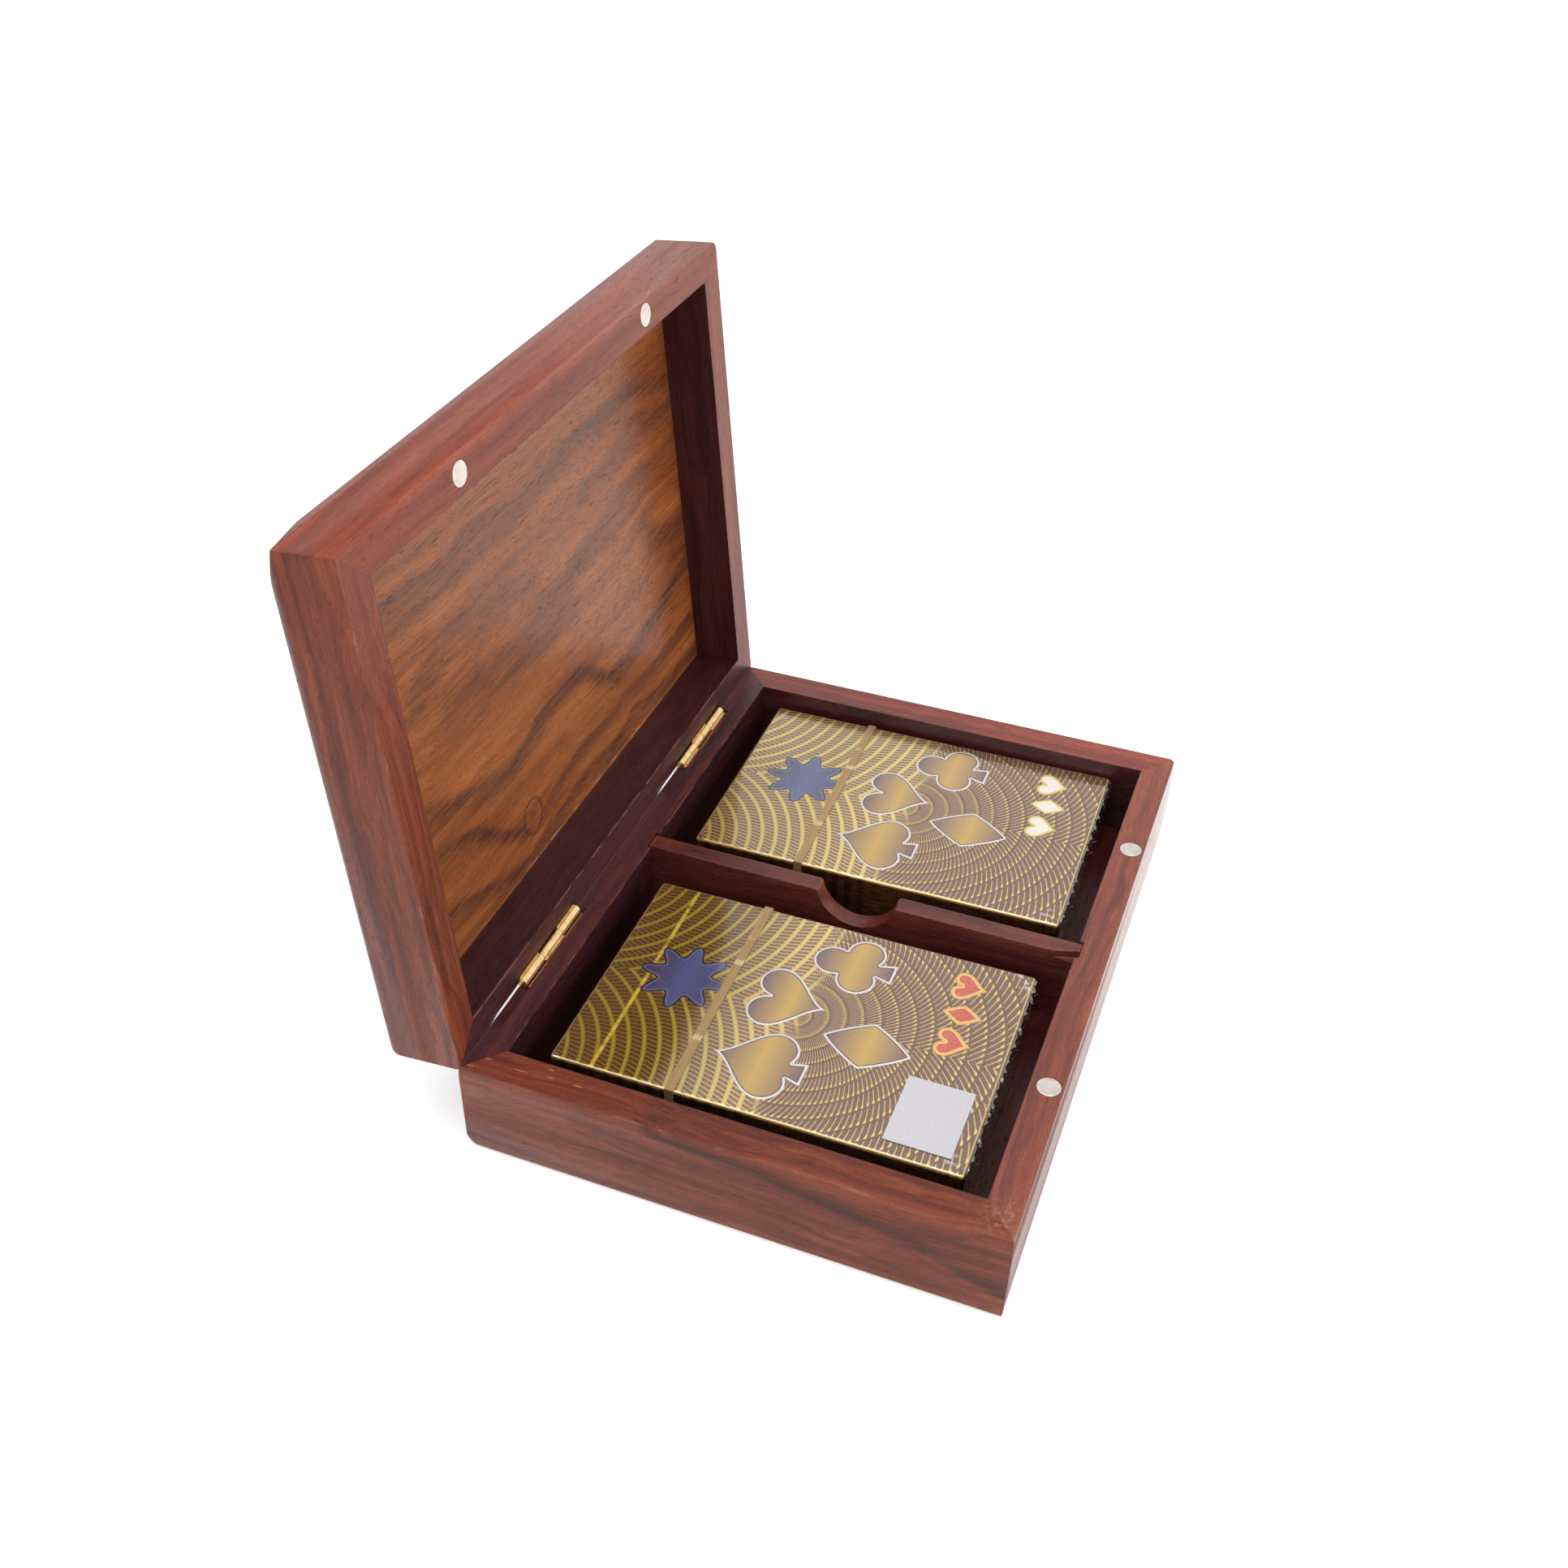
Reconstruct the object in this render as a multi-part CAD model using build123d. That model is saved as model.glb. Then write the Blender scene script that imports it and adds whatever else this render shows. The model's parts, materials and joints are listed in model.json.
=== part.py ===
"""Rosewood box with a hinged lid, shown open, with a wrapped deck of playing cards in each compartment.

The box stands on the origin: +X along the hinge, -Y to the front rim with its magnets, +Z up.
The lid is drawn closed and then swung open about the hinge pins.
"""

from build123d import *
import math
import os

# ---- Cards ------------------------------------------------------------------------------------
card_length = 88.0
card_width = 58.7
card_stack_height = 13.8
card_corner_radius = 3.2

# ---- Tuck case, film wrap, tear strip and label -----------------------------------------------
card_gap = 0.9
card_headroom = 0.4
board_thickness = 0.45
board_gap = 0.12
case_notch_radius = 9.0
tuck_tab_length = 16.0
tuck_tab_radius = 7.0
film_slack = 0.04
film_thickness = 0.12
film_edge_radius = 0.8
fold_thickness = 0.14
fold_slope = 45.0
fold_overlap = 2.0
tear_strip_width = 2.05
tear_strip_thickness = 0.08
left_strip_from_end = 27.4
left_strip_angle = 0.5
right_strip_from_end = 26.8
right_strip_angle = 0.2
sticker_length = 18.6
sticker_width = 14.5
sticker_thickness = 0.1
sticker_margin = 3.65
sticker_turn = -0.6

# ---- Room for the decks, and how they lie -----------------------------------------------------
left_finger_room = 12.73
right_finger_room = 8.33
end_finger_room = 12.58
deck_rest_gap = 0.05
left_deck_shift = -0.43
left_deck_turn = 0.57
right_deck_wall_gap = 0.55
right_deck_shift_y = 0.3
right_deck_turn = 0.88

# ---- Walls and panels -------------------------------------------------------------------------
end_wall = 8.0
side_wall = 7.2
rim_over_deck = 3.88
lid_front_height = 15.9
lid_back_height = 17.6
lid_cavity_depth = 12.4
base_panel_thickness = 4.0
rabbet_depth = 2.6
panel_fit = 0.1
face_crown = 0.4
corner_radius = 0.8
worn_corner_radius = 3.0
foot_radius = 1.2
back_foot_radius = 4.5
lid_front_edge_radius = 1.2
lid_worn_run_x = 15.0
lid_worn_run_y = 9.0
lid_worn_drop = 2.6
lid_back_edge_radius = 3.5
lid_end_radius = 2.2
seam_gap = 0.2

# ---- Divider with its finger notch ------------------------------------------------------------
divider_thickness = 4.5
divider_drop = 0.6
dado_depth = 1.0
dado_slack = 1.3
divider_end_gap = 0.1
divider_corner_cut = 2.0
divider_corner_run = 6.0
notch_radius = 9.5
notch_depth = 8.3
notch_lip_radius = 0.8

# ---- Magnets in the front rims ----------------------------------------------------------------
magnet_radius = 2.6
magnet_length = 3.0
magnet_from_end = 40.8
magnet_setback = 3.2
magnet_glue_gap = 0.08

# ---- Hinges -----------------------------------------------------------------------------------
lid_open_angle = 95.0
hinge_inset = 0.5
stop_clearance = 0.04
hinge_length = 26.7
left_hinge_from_end = 40.4
right_hinge_from_end = 37.2
knuckle_count = 3
knuckle_gap = 0.12
barrel_radius = 1.45
leaf_thickness = 0.4
leaf_set_off = 0.7
base_leaf_drop = 0.25
leaf_depth = 8.0
pin_radius = 0.62
pin_running_gap = 0.05
barrel_clearance = 0.15
kerf_clearance = 0.06
groove_lead = 7.5
groove_lead_depth = 0.95
groove_run_in = 7.0
groove_run_out = 1.2

# ---- Sizes that follow from those above -------------------------------------------------------
wrap_inset = film_thickness + film_slack
deck_length = card_length + 2 * (card_gap + board_thickness + wrap_inset)
deck_width = card_width + 2 * (card_gap + board_thickness + wrap_inset)
case_layers = 3 * board_thickness + board_gap
deck_height = card_stack_height + card_headroom + case_layers + 2 * wrap_inset
deck_floor_z = base_panel_thickness + tear_strip_thickness + deck_rest_gap

left_compartment = deck_width + left_finger_room
right_compartment = deck_width + right_finger_room
inner_half_length = (left_compartment + divider_thickness + right_compartment) / 2
inner_half_depth = (deck_length + end_finger_room) / 2
half_length = inner_half_length + end_wall
half_depth = inner_half_depth + side_wall
base_height = deck_floor_z + deck_height + rim_over_deck
base_rim_z = base_height - seam_gap / 2
lid_rim_z = base_height + seam_gap / 2
lid_mid_top_z = base_height + (lid_front_height + lid_back_height) / 2
lid_tilt = math.degrees(math.atan((lid_back_height - lid_front_height) / (2 * half_depth)))

divider_centre_x = left_compartment + divider_thickness / 2 - inner_half_length
divider_top_z = base_rim_z - divider_drop
magnet_y = magnet_setback - half_depth
hinge_y = half_depth - hinge_inset
left_hinge_x = left_hinge_from_end - half_length
right_hinge_x = half_length - right_hinge_from_end
groove_depth = barrel_radius + barrel_clearance
groove_half_width = barrel_radius + leaf_set_off + kerf_clearance
leaf_y = hinge_y - barrel_radius - leaf_set_off + leaf_thickness / 2

right_deck_tilt = math.radians(right_deck_turn)
right_deck_reach = (deck_width * math.cos(right_deck_tilt) + deck_length * math.sin(right_deck_tilt)) / 2
left_deck_x = left_compartment / 2 - inner_half_length + left_deck_shift
right_deck_x = inner_half_length - right_deck_wall_gap - right_deck_reach
cut_margin = 2.0
outline_overlap = 0.01
mitre_reach = 1.25

os.makedirs("parts", exist_ok=True)


def slab(x_low, x_high, y_low, y_high, z_low, z_high):
    """A plain block between two opposite corners."""
    centre = Pos((x_low + x_high) / 2, (y_low + y_high) / 2, (z_low + z_high) / 2)
    return centre * Box(x_high - x_low, y_high - y_low, z_high - z_low)


def soften(outline, corner, radius):
    """Round the corner of a flat outline that lies nearest to the point given."""
    nearest = min(outline.vertices(), key=lambda v: (Vector(v.X, v.Y) - Vector(*corner)).length)
    return fillet(nearest, radius)


def crowned_outline(half_width, z_low, left_top_z, right_top_z=None):
    """A cross-section whose two upright sides swell by the crown at mid height."""
    swell = half_width + face_crown
    if right_top_z is None:
        right_top_z = left_top_z
    sides = [
        ThreePointArc((-half_width, left_top_z), (-swell, (z_low + left_top_z) / 2), (-half_width, z_low)),
        Line((-half_width, z_low), (half_width, z_low)),
        ThreePointArc((half_width, z_low), (swell, (z_low + right_top_z) / 2), (half_width, right_top_z)),
        Line((half_width, right_top_z), (-half_width, left_top_z)),
    ]
    return make_face(Curve() + sides)


def plan_outline():
    """The rounded rectangle that rounds the box's upright corners; the far front one is worn."""
    outline = Rectangle(2 * (half_length + face_crown), 2 * (half_depth + face_crown))
    for x_side in (-1, 1):
        for y_side in (-1, 1):
            corner = (x_side * (half_length + face_crown), y_side * (half_depth + face_crown))
            worn = x_side > 0 and y_side < 0
            outline = soften(outline, corner, worn_corner_radius if worn else corner_radius)
    return outline


def long_bar(side_outline):
    """A bar along X with the cross-section given, as long as the box at its widest."""
    return extrude(Plane.YZ * side_outline, amount=half_length + face_crown, both=True)


def cross_bar(end_outline):
    """A bar along Y with the cross-section given, a little longer than the box is deep."""
    return extrude(Plane.XZ * end_outline, amount=half_depth + face_crown + cut_margin, both=True)


def base_block():
    """Outer form of the base, with a rounded foot along the hinge side."""
    side = crowned_outline(half_depth, 0, base_rim_z)
    side = soften(side, (half_depth, 0), back_foot_radius)
    side = soften(side, (-half_depth, 0), foot_radius)
    end = crowned_outline(half_length, -outline_overlap, base_rim_z + outline_overlap)
    end = soften(end, (half_length, 0), foot_radius)
    end = soften(end, (-half_length, 0), foot_radius)
    upright = extrude(Pos(0, 0, -cut_margin) * plan_outline(), amount=base_height + 2 * cut_margin)
    return upright & long_bar(side) & cross_bar(end)


def lid_top_place():
    """Frame of the lid's outer face, which slopes down to the front: z = 0 lies in that face."""
    return Pos(0, 0, lid_mid_top_z) * Rot(lid_tilt, 0, 0)


def worn_corner(front_top_z):
    """What handling has worn off the lid's near front top corner: all that lies over a slanted plane."""
    along = Vector(lid_worn_run_x, 0, lid_worn_drop)
    aside = Vector(0, lid_worn_run_y, lid_worn_drop)
    low_point = (-half_length, -half_depth, front_top_z - lid_worn_drop)
    slant = Plane(origin=low_point, x_dir=along, z_dir=along.cross(aside))
    return slant * Pos(0, 0, lid_back_height) * Box(2 * half_length, 2 * half_length, 2 * lid_back_height)


def lid_block():
    """Outer form of the closed lid: the top slopes to the front and has rounded edges."""
    front_top_z = base_height + lid_front_height
    back_top_z = base_height + lid_back_height
    side = crowned_outline(half_depth, lid_rim_z, front_top_z, back_top_z)
    side = soften(side, (-half_depth, front_top_z), lid_front_edge_radius)
    side = soften(side, (half_depth, back_top_z), lid_back_edge_radius)
    end = crowned_outline(half_length, -lid_back_height - cut_margin, outline_overlap)
    end = soften(end, (-half_length, 0), lid_end_radius)
    end = soften(end, (half_length, 0), lid_end_radius)
    upright = extrude(plan_outline(), amount=back_top_z + cut_margin)
    block = upright & long_bar(side) & (lid_top_place() * cross_bar(end))
    return block - worn_corner(front_top_z)


def mitred_regions(z_low, z_high):
    """Four upright prisms that part the frame at its mitres, as (side, prism) pairs."""
    x_in, y_in = inner_half_length, inner_half_depth
    x_out = x_in + end_wall * mitre_reach
    y_out = y_in + side_wall * mitre_reach
    plans = {
        "front": [(-x_out, -y_out), (x_out, -y_out), (x_in, -y_in), (-x_in, -y_in)],
        "back": [(-x_in, y_in), (x_in, y_in), (x_out, y_out), (-x_out, y_out)],
        "left": [(-x_out, -y_out), (-x_in, -y_in), (-x_in, y_in), (-x_out, y_out)],
        "right": [(x_in, -y_in), (x_out, -y_out), (x_out, y_out), (x_in, y_in)],
    }
    for side, corners in plans.items():
        outline = Pos(0, 0, z_low) * make_face(Polyline(*corners, close=True))
        yield side, extrude(outline, amount=z_high - z_low, dir=(0, 0, 1))


def panel_board(z_low, z_high, fit):
    """The board that fills the rabbet round the frame, between two heights."""
    x_reach = inner_half_length + rabbet_depth - fit
    y_reach = inner_half_depth + rabbet_depth - fit
    return slab(-x_reach, x_reach, -y_reach, y_reach, z_low, z_high)


def magnet_discs(rim_z, into, clearance):
    """The magnets, or their bores when a clearance is given, going into the rim up or down."""
    radius = magnet_radius + clearance
    length = magnet_length + clearance
    centre_z = rim_z + into * length / 2
    reach = half_length - magnet_from_end
    return {
        "left": Pos(-reach, magnet_y, centre_z) * Cylinder(radius, length),
        "right": Pos(reach, magnet_y, centre_z) * Cylinder(radius, length),
    }


def groove_outline(hinge_x, into):
    """Barrel groove seen along Y: deep for the barrel, shallower for its lead, with arcs at both ends."""
    x_low = hinge_x - hinge_length / 2 - barrel_clearance
    x_high = hinge_x + hinge_length / 2 + barrel_clearance
    x_lead = x_low - groove_lead
    bottom = base_height + into * groove_depth
    lead_bottom = base_height + into * groove_lead_depth
    start = (x_lead - groove_run_in, base_height)
    finish = (x_high + groove_run_out, base_height)
    curve = [
        Line(start, finish),
        TangentArc((x_high, bottom), finish, tangent=(1, 0)),
        Line((x_high, bottom), (x_low, bottom)),
        Line((x_low, bottom), (x_low, lead_bottom)),
        Line((x_low, lead_bottom), (x_lead, lead_bottom)),
        TangentArc((x_lead, lead_bottom), start, tangent=(-1, 0)),
    ]
    return make_face(Curve() + curve)


def hinge_cuts(hinge_x, into):
    """Barrel groove and saw slot for one hinge, going down into the base or up into the lid."""
    groove = extrude(Plane.XZ * groove_outline(hinge_x, into), amount=groove_half_width, both=True)
    groove = Pos(0, hinge_y, 0) * groove
    reach = hinge_length / 2 + barrel_clearance
    half_slot = leaf_thickness / 2 + kerf_clearance
    slot_end = base_height + into * (leaf_depth + kerf_clearance)
    z_low, z_high = sorted((base_height, slot_end))
    slot = slab(hinge_x - reach, hinge_x + reach, leaf_y - half_slot, leaf_y + half_slot, z_low, z_high)
    return groove + slot


def stop_bevel(into):
    """What is planed off a back rim edge, so that the two rims meet when the lid is fully open."""
    slope = math.radians(lid_open_angle / 2)
    reach = hinge_inset + face_crown + cut_margin
    drop = reach * math.tan(slope)
    lift = stop_clearance / math.cos(slope)
    points = [(0, -lift), (reach, -lift - drop), (reach, cut_margin), (0, cut_margin)]
    placed = [(hinge_y + y, base_height - into * z) for y, z in points]
    outline = make_face(Polyline(*placed, close=True))
    return extrude(Plane.YZ * outline, amount=half_length + face_crown, both=True)


def frame_walls(block, panel, dado, magnet_bores, hinge_into):
    """Cut one outer form into its four mitred walls, with every rabbet, slot, bore and bevel."""
    walls = {}
    bounds = block.bounding_box()
    for side, region in mitred_regions(bounds.min.Z - cut_margin, bounds.max.Z + cut_margin):
        wall = block & region
        wall -= panel
        if side in ("front", "back") and dado is not None:
            wall -= dado
        if side == "front":
            for bore in magnet_bores.values():
                wall -= bore
        if side != "front":
            wall -= stop_bevel(hinge_into)
        if side == "back":
            for hinge_x in (left_hinge_x, right_hinge_x):
                wall -= hinge_cuts(hinge_x, hinge_into)
        walls[side] = wall
    return walls


def divider_dado():
    """Slots in the front and back walls for the divider's ends, a little wide on the left."""
    x_right = divider_centre_x + divider_thickness / 2 + divider_end_gap
    x_left = x_right - divider_thickness - dado_slack
    y_reach = inner_half_depth + dado_depth
    return slab(x_left, x_right, -y_reach, y_reach, base_panel_thickness, base_height)


def divider_board():
    """Upright board with a round finger notch and one worn corner at its front end."""
    y_reach = inner_half_depth + dado_depth - divider_end_gap
    height = divider_top_z - base_panel_thickness
    board = Pos(0, base_panel_thickness + height / 2) * Rectangle(2 * y_reach, height)
    notch_centre_z = divider_top_z - notch_depth + notch_radius
    board -= Pos(0, notch_centre_z) * Circle(notch_radius)
    half_mouth = math.sqrt(notch_radius**2 - (notch_centre_z - divider_top_z) ** 2)
    for sign in (-1, 1):
        board = soften(board, (sign * half_mouth, divider_top_z), notch_lip_radius)
    solid = Pos(divider_centre_x, 0, 0) * extrude(Plane.YZ * board, amount=divider_thickness / 2, both=True)
    x_left = divider_centre_x - divider_thickness / 2
    worn = [
        (x_left, -y_reach),
        (x_left + divider_corner_cut, -y_reach),
        (x_left, -y_reach + divider_corner_run),
    ]
    wedge = Pos(0, 0, divider_top_z - divider_corner_cut) * make_face(Polyline(*worn, close=True))
    return solid - extrude(wedge, amount=divider_corner_cut)


def knuckle_spans(hinge_x):
    """X limits of each knuckle along the barrel, with a small gap between neighbours."""
    pitch = (hinge_length + knuckle_gap) / knuckle_count
    start = hinge_x - hinge_length / 2
    return [(start + i * pitch, start + (i + 1) * pitch - knuckle_gap) for i in range(knuckle_count)]


def hinge_leaf(hinge_x, into, edge_drop, carries_outer):
    """Sheet leaf bent over and rolled into its share of the knuckles, going into the base or the lid."""
    z_low, z_high = sorted((base_height + into * edge_drop, base_height + into * leaf_depth))
    y_low, y_high = leaf_y - leaf_thickness / 2, leaf_y + leaf_thickness / 2
    bend_y = hinge_y - barrel_radius + leaf_thickness
    reach = hinge_length / 2
    leaf = slab(hinge_x - reach, hinge_x + reach, y_low, y_high, z_low, z_high)
    for index, (x_low, x_high) in enumerate(knuckle_spans(hinge_x)):
        if (index % 2 == 0) != carries_outer:
            continue
        centre = Pos((x_low + x_high) / 2, hinge_y, base_height) * Rot(0, 90, 0)
        tab_low, tab_high = sorted((base_height, base_height + into * (groove_depth + leaf_thickness)))
        tab = slab(x_low, x_high, y_low, y_high, tab_low, tab_high)
        bend_low, bend_high = sorted((base_height, base_height + into * barrel_radius))
        bend = slab(x_low, x_high, y_low, bend_y, bend_low, bend_high)
        roll = tab + bend + centre * Cylinder(barrel_radius, x_high - x_low)
        leaf += roll - centre * Cylinder(pin_radius + pin_running_gap, x_high - x_low)
    return leaf


def hinge_pin(hinge_x):
    """The round pin that runs through all the knuckles of one hinge."""
    return Pos(hinge_x, hinge_y, base_height) * Rot(0, 90, 0) * Cylinder(pin_radius, hinge_length)


def swung_open(solid):
    """Turn a piece of the closed lid about the hinge pins to where it stands open."""
    axis_place = Pos(0, hinge_y, base_height)
    return axis_place * Rot(-lid_open_angle, 0, 0) * Pos(0, -hinge_y, -base_height) * solid


def rounded_bar(length, width, height, radius):
    """A block with all its edges rounded, standing on the ground plane."""
    block = Pos(0, 0, height / 2) * Box(width, length, height)
    return fillet(block.edges(), radius)


def end_fold(edge_z, into):
    """One sealed flap of an end fold: full width at the wrap's edge, narrower towards the middle."""
    half_width = deck_width / 2 - film_edge_radius
    reach = deck_height / 2 - film_edge_radius + fold_overlap / 2
    narrow = half_width - reach * math.tan(math.radians(fold_slope))
    start, finish = edge_z, edge_z + into * reach
    corners = [(-half_width, start), (half_width, start), (narrow, finish), (-narrow, finish)]
    half_deck = deck_length / 2
    flap = extrude(Plane.XZ * make_face(Polyline(*corners, close=True)), amount=fold_thickness)
    return Pos(0, -half_deck, 0) * flap + Pos(0, half_deck + fold_thickness, 0) * flap


def film_wrap():
    """Clear film drawn round the case, with an envelope fold at each end."""
    outer = rounded_bar(deck_length, deck_width, deck_height, film_edge_radius)
    length, width, height = (size - 2 * film_thickness for size in (deck_length, deck_width, deck_height))
    inner = rounded_bar(length, width, height, film_edge_radius - film_thickness)
    wrap = outer - Pos(0, 0, film_thickness) * inner
    wrap += end_fold(film_edge_radius, 1)
    return wrap + end_fold(deck_height - film_edge_radius, -1)


def case_blank():
    """Card tuck case: six walls, a tucked flap at the hinge end and a thumb notch under it."""
    length, width = deck_length - 2 * wrap_inset, deck_width - 2 * wrap_inset
    height = deck_height - 2 * wrap_inset
    board = board_thickness
    outer = rounded_bar(length, width, height, film_edge_radius - wrap_inset)
    case = outer - Pos(0, 0, height / 2) * Box(width - 2 * board, length - 2 * board, height - 2 * board)
    half_width, flap_y = width / 2 - board, length / 2
    slit_start, slit_finish = flap_y - board - board_gap, flap_y + board
    for x_low in (-half_width, half_width - board_gap):
        case -= slab(x_low, x_low + board_gap, slit_start, slit_finish, board, height - board)
    case -= slab(-half_width, half_width, flap_y - board, slit_finish, board, board + board_gap)
    case -= Pos(0, flap_y, board / 2) * Cylinder(case_notch_radius, board)
    tab_end = flap_y - board - tuck_tab_length
    tab = Pos(0, tab_end + tuck_tab_length / 2) * Rectangle(2 * (half_width - board_gap), tuck_tab_length)
    for sign in (-1, 1):
        tab = soften(tab, (sign * half_width, tab_end), tuck_tab_radius)
    tucked = extrude(Pos(0, 0, board + board_gap) * tab, amount=board)
    return Pos(0, 0, wrap_inset) * (case + tucked)


def card_stack():
    """The squared-up stack of cards, lying on the case's floor and its tucked tab."""
    floor = wrap_inset + 2 * board_thickness + board_gap
    outline = RectangleRounded(card_width, card_length, card_corner_radius)
    return extrude(Pos(0, 0, floor) * outline, amount=card_stack_height)


def tear_strip(from_hinge_end, angle):
    """Narrow band round the whole wrap, a little askew."""
    strip_y = deck_length / 2 - from_hinge_end
    thickness = tear_strip_thickness
    outer = Pos(0, 0, deck_height / 2) * Box(
        deck_width + 2 * thickness, deck_length, deck_height + 2 * thickness
    )
    inner = Pos(0, 0, deck_height / 2) * Box(deck_width, deck_length, deck_height)
    ring = outer - inner
    rise = math.tan(math.radians(angle)) * deck_width
    half_band = tear_strip_width / math.cos(math.radians(angle)) / 2
    x_reach = deck_width
    corners = [
        (-x_reach, strip_y - rise - half_band),
        (x_reach, strip_y + rise - half_band),
        (x_reach, strip_y + rise + half_band),
        (-x_reach, strip_y - rise + half_band),
    ]
    band = extrude(make_face(Polyline(*corners, close=True)), amount=2 * deck_height, both=True)
    return ring & band


def deck_pieces(side):
    """Every piece of one wrapped deck, in the deck's own frame."""
    pieces = {"cards": card_stack(), "tuck_case": case_blank(), "wrap": film_wrap()}
    if side == "left":
        pieces["tear_strip"] = tear_strip(left_strip_from_end, left_strip_angle)
        label_x = (sticker_length - deck_width) / 2 + sticker_margin
        label_y = (sticker_width - deck_length) / 2 + sticker_margin
        label = Pos(label_x, label_y, deck_height + sticker_thickness / 2) * Rot(0, 0, sticker_turn)
        pieces["sticker"] = label * Box(sticker_length, sticker_width, sticker_thickness)
    else:
        pieces["tear_strip"] = tear_strip(right_strip_from_end, right_strip_angle)
    return pieces


def save(name, solid):
    """Write one piece to its own file, named after the piece."""
    export_step(solid, f"parts/{name}.step")


def save_base():
    """Write the base's walls, bottom, divider and magnets."""
    rabbet = panel_board(-cut_margin, base_panel_thickness, 0)
    bores = magnet_discs(base_rim_z, -1, magnet_glue_gap)
    for side, wall in frame_walls(base_block(), rabbet, divider_dado(), bores, -1).items():
        save(f"base_{side}_wall", wall)
    save("base_bottom_panel", panel_board(0, base_panel_thickness, panel_fit))
    save("divider", divider_board())
    for side, disc in magnet_discs(base_rim_z, -1, 0).items():
        save(f"base_magnet_{side}", disc)


def save_lid():
    """Write the lid's walls, top panel and magnets, swung open."""
    block = lid_block()
    inner_z = base_height + lid_cavity_depth
    top_z = base_height + lid_back_height + cut_margin
    rabbet = panel_board(inner_z, top_z, 0)
    bores = magnet_discs(lid_rim_z, 1, magnet_glue_gap)
    for side, wall in frame_walls(block, rabbet, None, bores, 1).items():
        save(f"lid_{side}_wall", swung_open(wall))
    save("lid_top_panel", swung_open(block & panel_board(inner_z, top_z, panel_fit)))
    for side, disc in magnet_discs(lid_rim_z, 1, 0).items():
        save(f"lid_magnet_{side}", swung_open(disc))


def save_hinges():
    """Write both hinges; the left one has its outer knuckles on the lid, the right one on the base."""
    lid_leaf_drop = groove_depth + barrel_clearance
    for side, hinge_x in (("left", left_hinge_x), ("right", right_hinge_x)):
        base_has_outer = side == "right"
        base_leaf = hinge_leaf(hinge_x, -1, base_leaf_drop, base_has_outer)
        lid_leaf = hinge_leaf(hinge_x, 1, lid_leaf_drop, not base_has_outer)
        save(f"hinge_{side}_base_leaf", base_leaf)
        save(f"hinge_{side}_lid_leaf", swung_open(lid_leaf))
        save(f"hinge_{side}_pin", hinge_pin(hinge_x))


def save_decks():
    """Write both wrapped decks where they lie in their compartments."""
    places = {
        "left": Pos(left_deck_x, 0, deck_floor_z) * Rot(0, 0, left_deck_turn),
        "right": Pos(right_deck_x, right_deck_shift_y, deck_floor_z) * Rot(0, 0, right_deck_turn),
    }
    for side, place in places.items():
        for piece, solid in deck_pieces(side).items():
            save(f"{piece}_{side}", place * solid)


save_base()
save_lid()
save_hinges()
save_decks()
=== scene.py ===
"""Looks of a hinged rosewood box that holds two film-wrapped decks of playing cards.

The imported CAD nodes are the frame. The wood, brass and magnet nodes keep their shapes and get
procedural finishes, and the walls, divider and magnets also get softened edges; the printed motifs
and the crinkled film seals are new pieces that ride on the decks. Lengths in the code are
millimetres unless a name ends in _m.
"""

from __future__ import annotations

import json
import logging
import math
from dataclasses import dataclass
from enum import Enum

import bpy
import numpy as np
from mathutils import Matrix, Vector

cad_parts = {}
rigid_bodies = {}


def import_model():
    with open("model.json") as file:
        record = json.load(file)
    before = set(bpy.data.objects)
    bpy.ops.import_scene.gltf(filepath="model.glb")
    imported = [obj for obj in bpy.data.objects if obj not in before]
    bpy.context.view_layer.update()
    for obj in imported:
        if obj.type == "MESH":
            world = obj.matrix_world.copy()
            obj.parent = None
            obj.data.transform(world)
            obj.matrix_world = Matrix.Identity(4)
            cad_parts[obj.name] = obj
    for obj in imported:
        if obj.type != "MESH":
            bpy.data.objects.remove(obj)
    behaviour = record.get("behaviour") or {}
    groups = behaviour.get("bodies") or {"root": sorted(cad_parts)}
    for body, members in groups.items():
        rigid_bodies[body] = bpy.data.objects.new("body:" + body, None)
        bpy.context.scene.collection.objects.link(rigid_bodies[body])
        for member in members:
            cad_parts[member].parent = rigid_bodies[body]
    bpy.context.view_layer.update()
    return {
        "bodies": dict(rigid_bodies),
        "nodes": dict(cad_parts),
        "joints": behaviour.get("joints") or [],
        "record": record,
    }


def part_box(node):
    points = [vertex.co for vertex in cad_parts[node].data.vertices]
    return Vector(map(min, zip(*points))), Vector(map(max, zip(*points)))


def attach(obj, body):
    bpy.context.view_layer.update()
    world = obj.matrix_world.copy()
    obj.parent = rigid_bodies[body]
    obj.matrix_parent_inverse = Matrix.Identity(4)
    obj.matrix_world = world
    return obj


LOG = logging.getLogger("card_box")
MM = 0.001
RIM_Z = 24.0
OUTER_HALF = (82.5, 58.9)
INNER_HALF = (74.5, 51.8)
NOTCH_CENTRE_Z, NOTCH_RADIUS = 25.0, 9.5
BARREL_RADIUS = 1.45
HINGE_AXIS = Vector((0.0, 58.5, RIM_Z))
OPEN_ANGLE = math.radians(95.0)
Colour = tuple[float, float, float, float]
Triple = tuple[float, float, float]
Socket = bpy.types.NodeSocket


def tint(red: int, green: int, blue: int) -> Colour:
    """Turn a screen colour into the linear colour that shaders take.

    Args:
        red: Red from 0 to 255.
        green: Green from 0 to 255.
        blue: Blue from 0 to 255.

    Returns:
        The linear colour, opaque.
    """
    parts = np.array([red, green, blue]) / 255.0
    linear = np.where(parts <= 0.04045, parts / 12.92, ((parts + 0.055) / 1.055) ** 2.4)
    return (*(float(part) for part in linear), 1.0)


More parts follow.
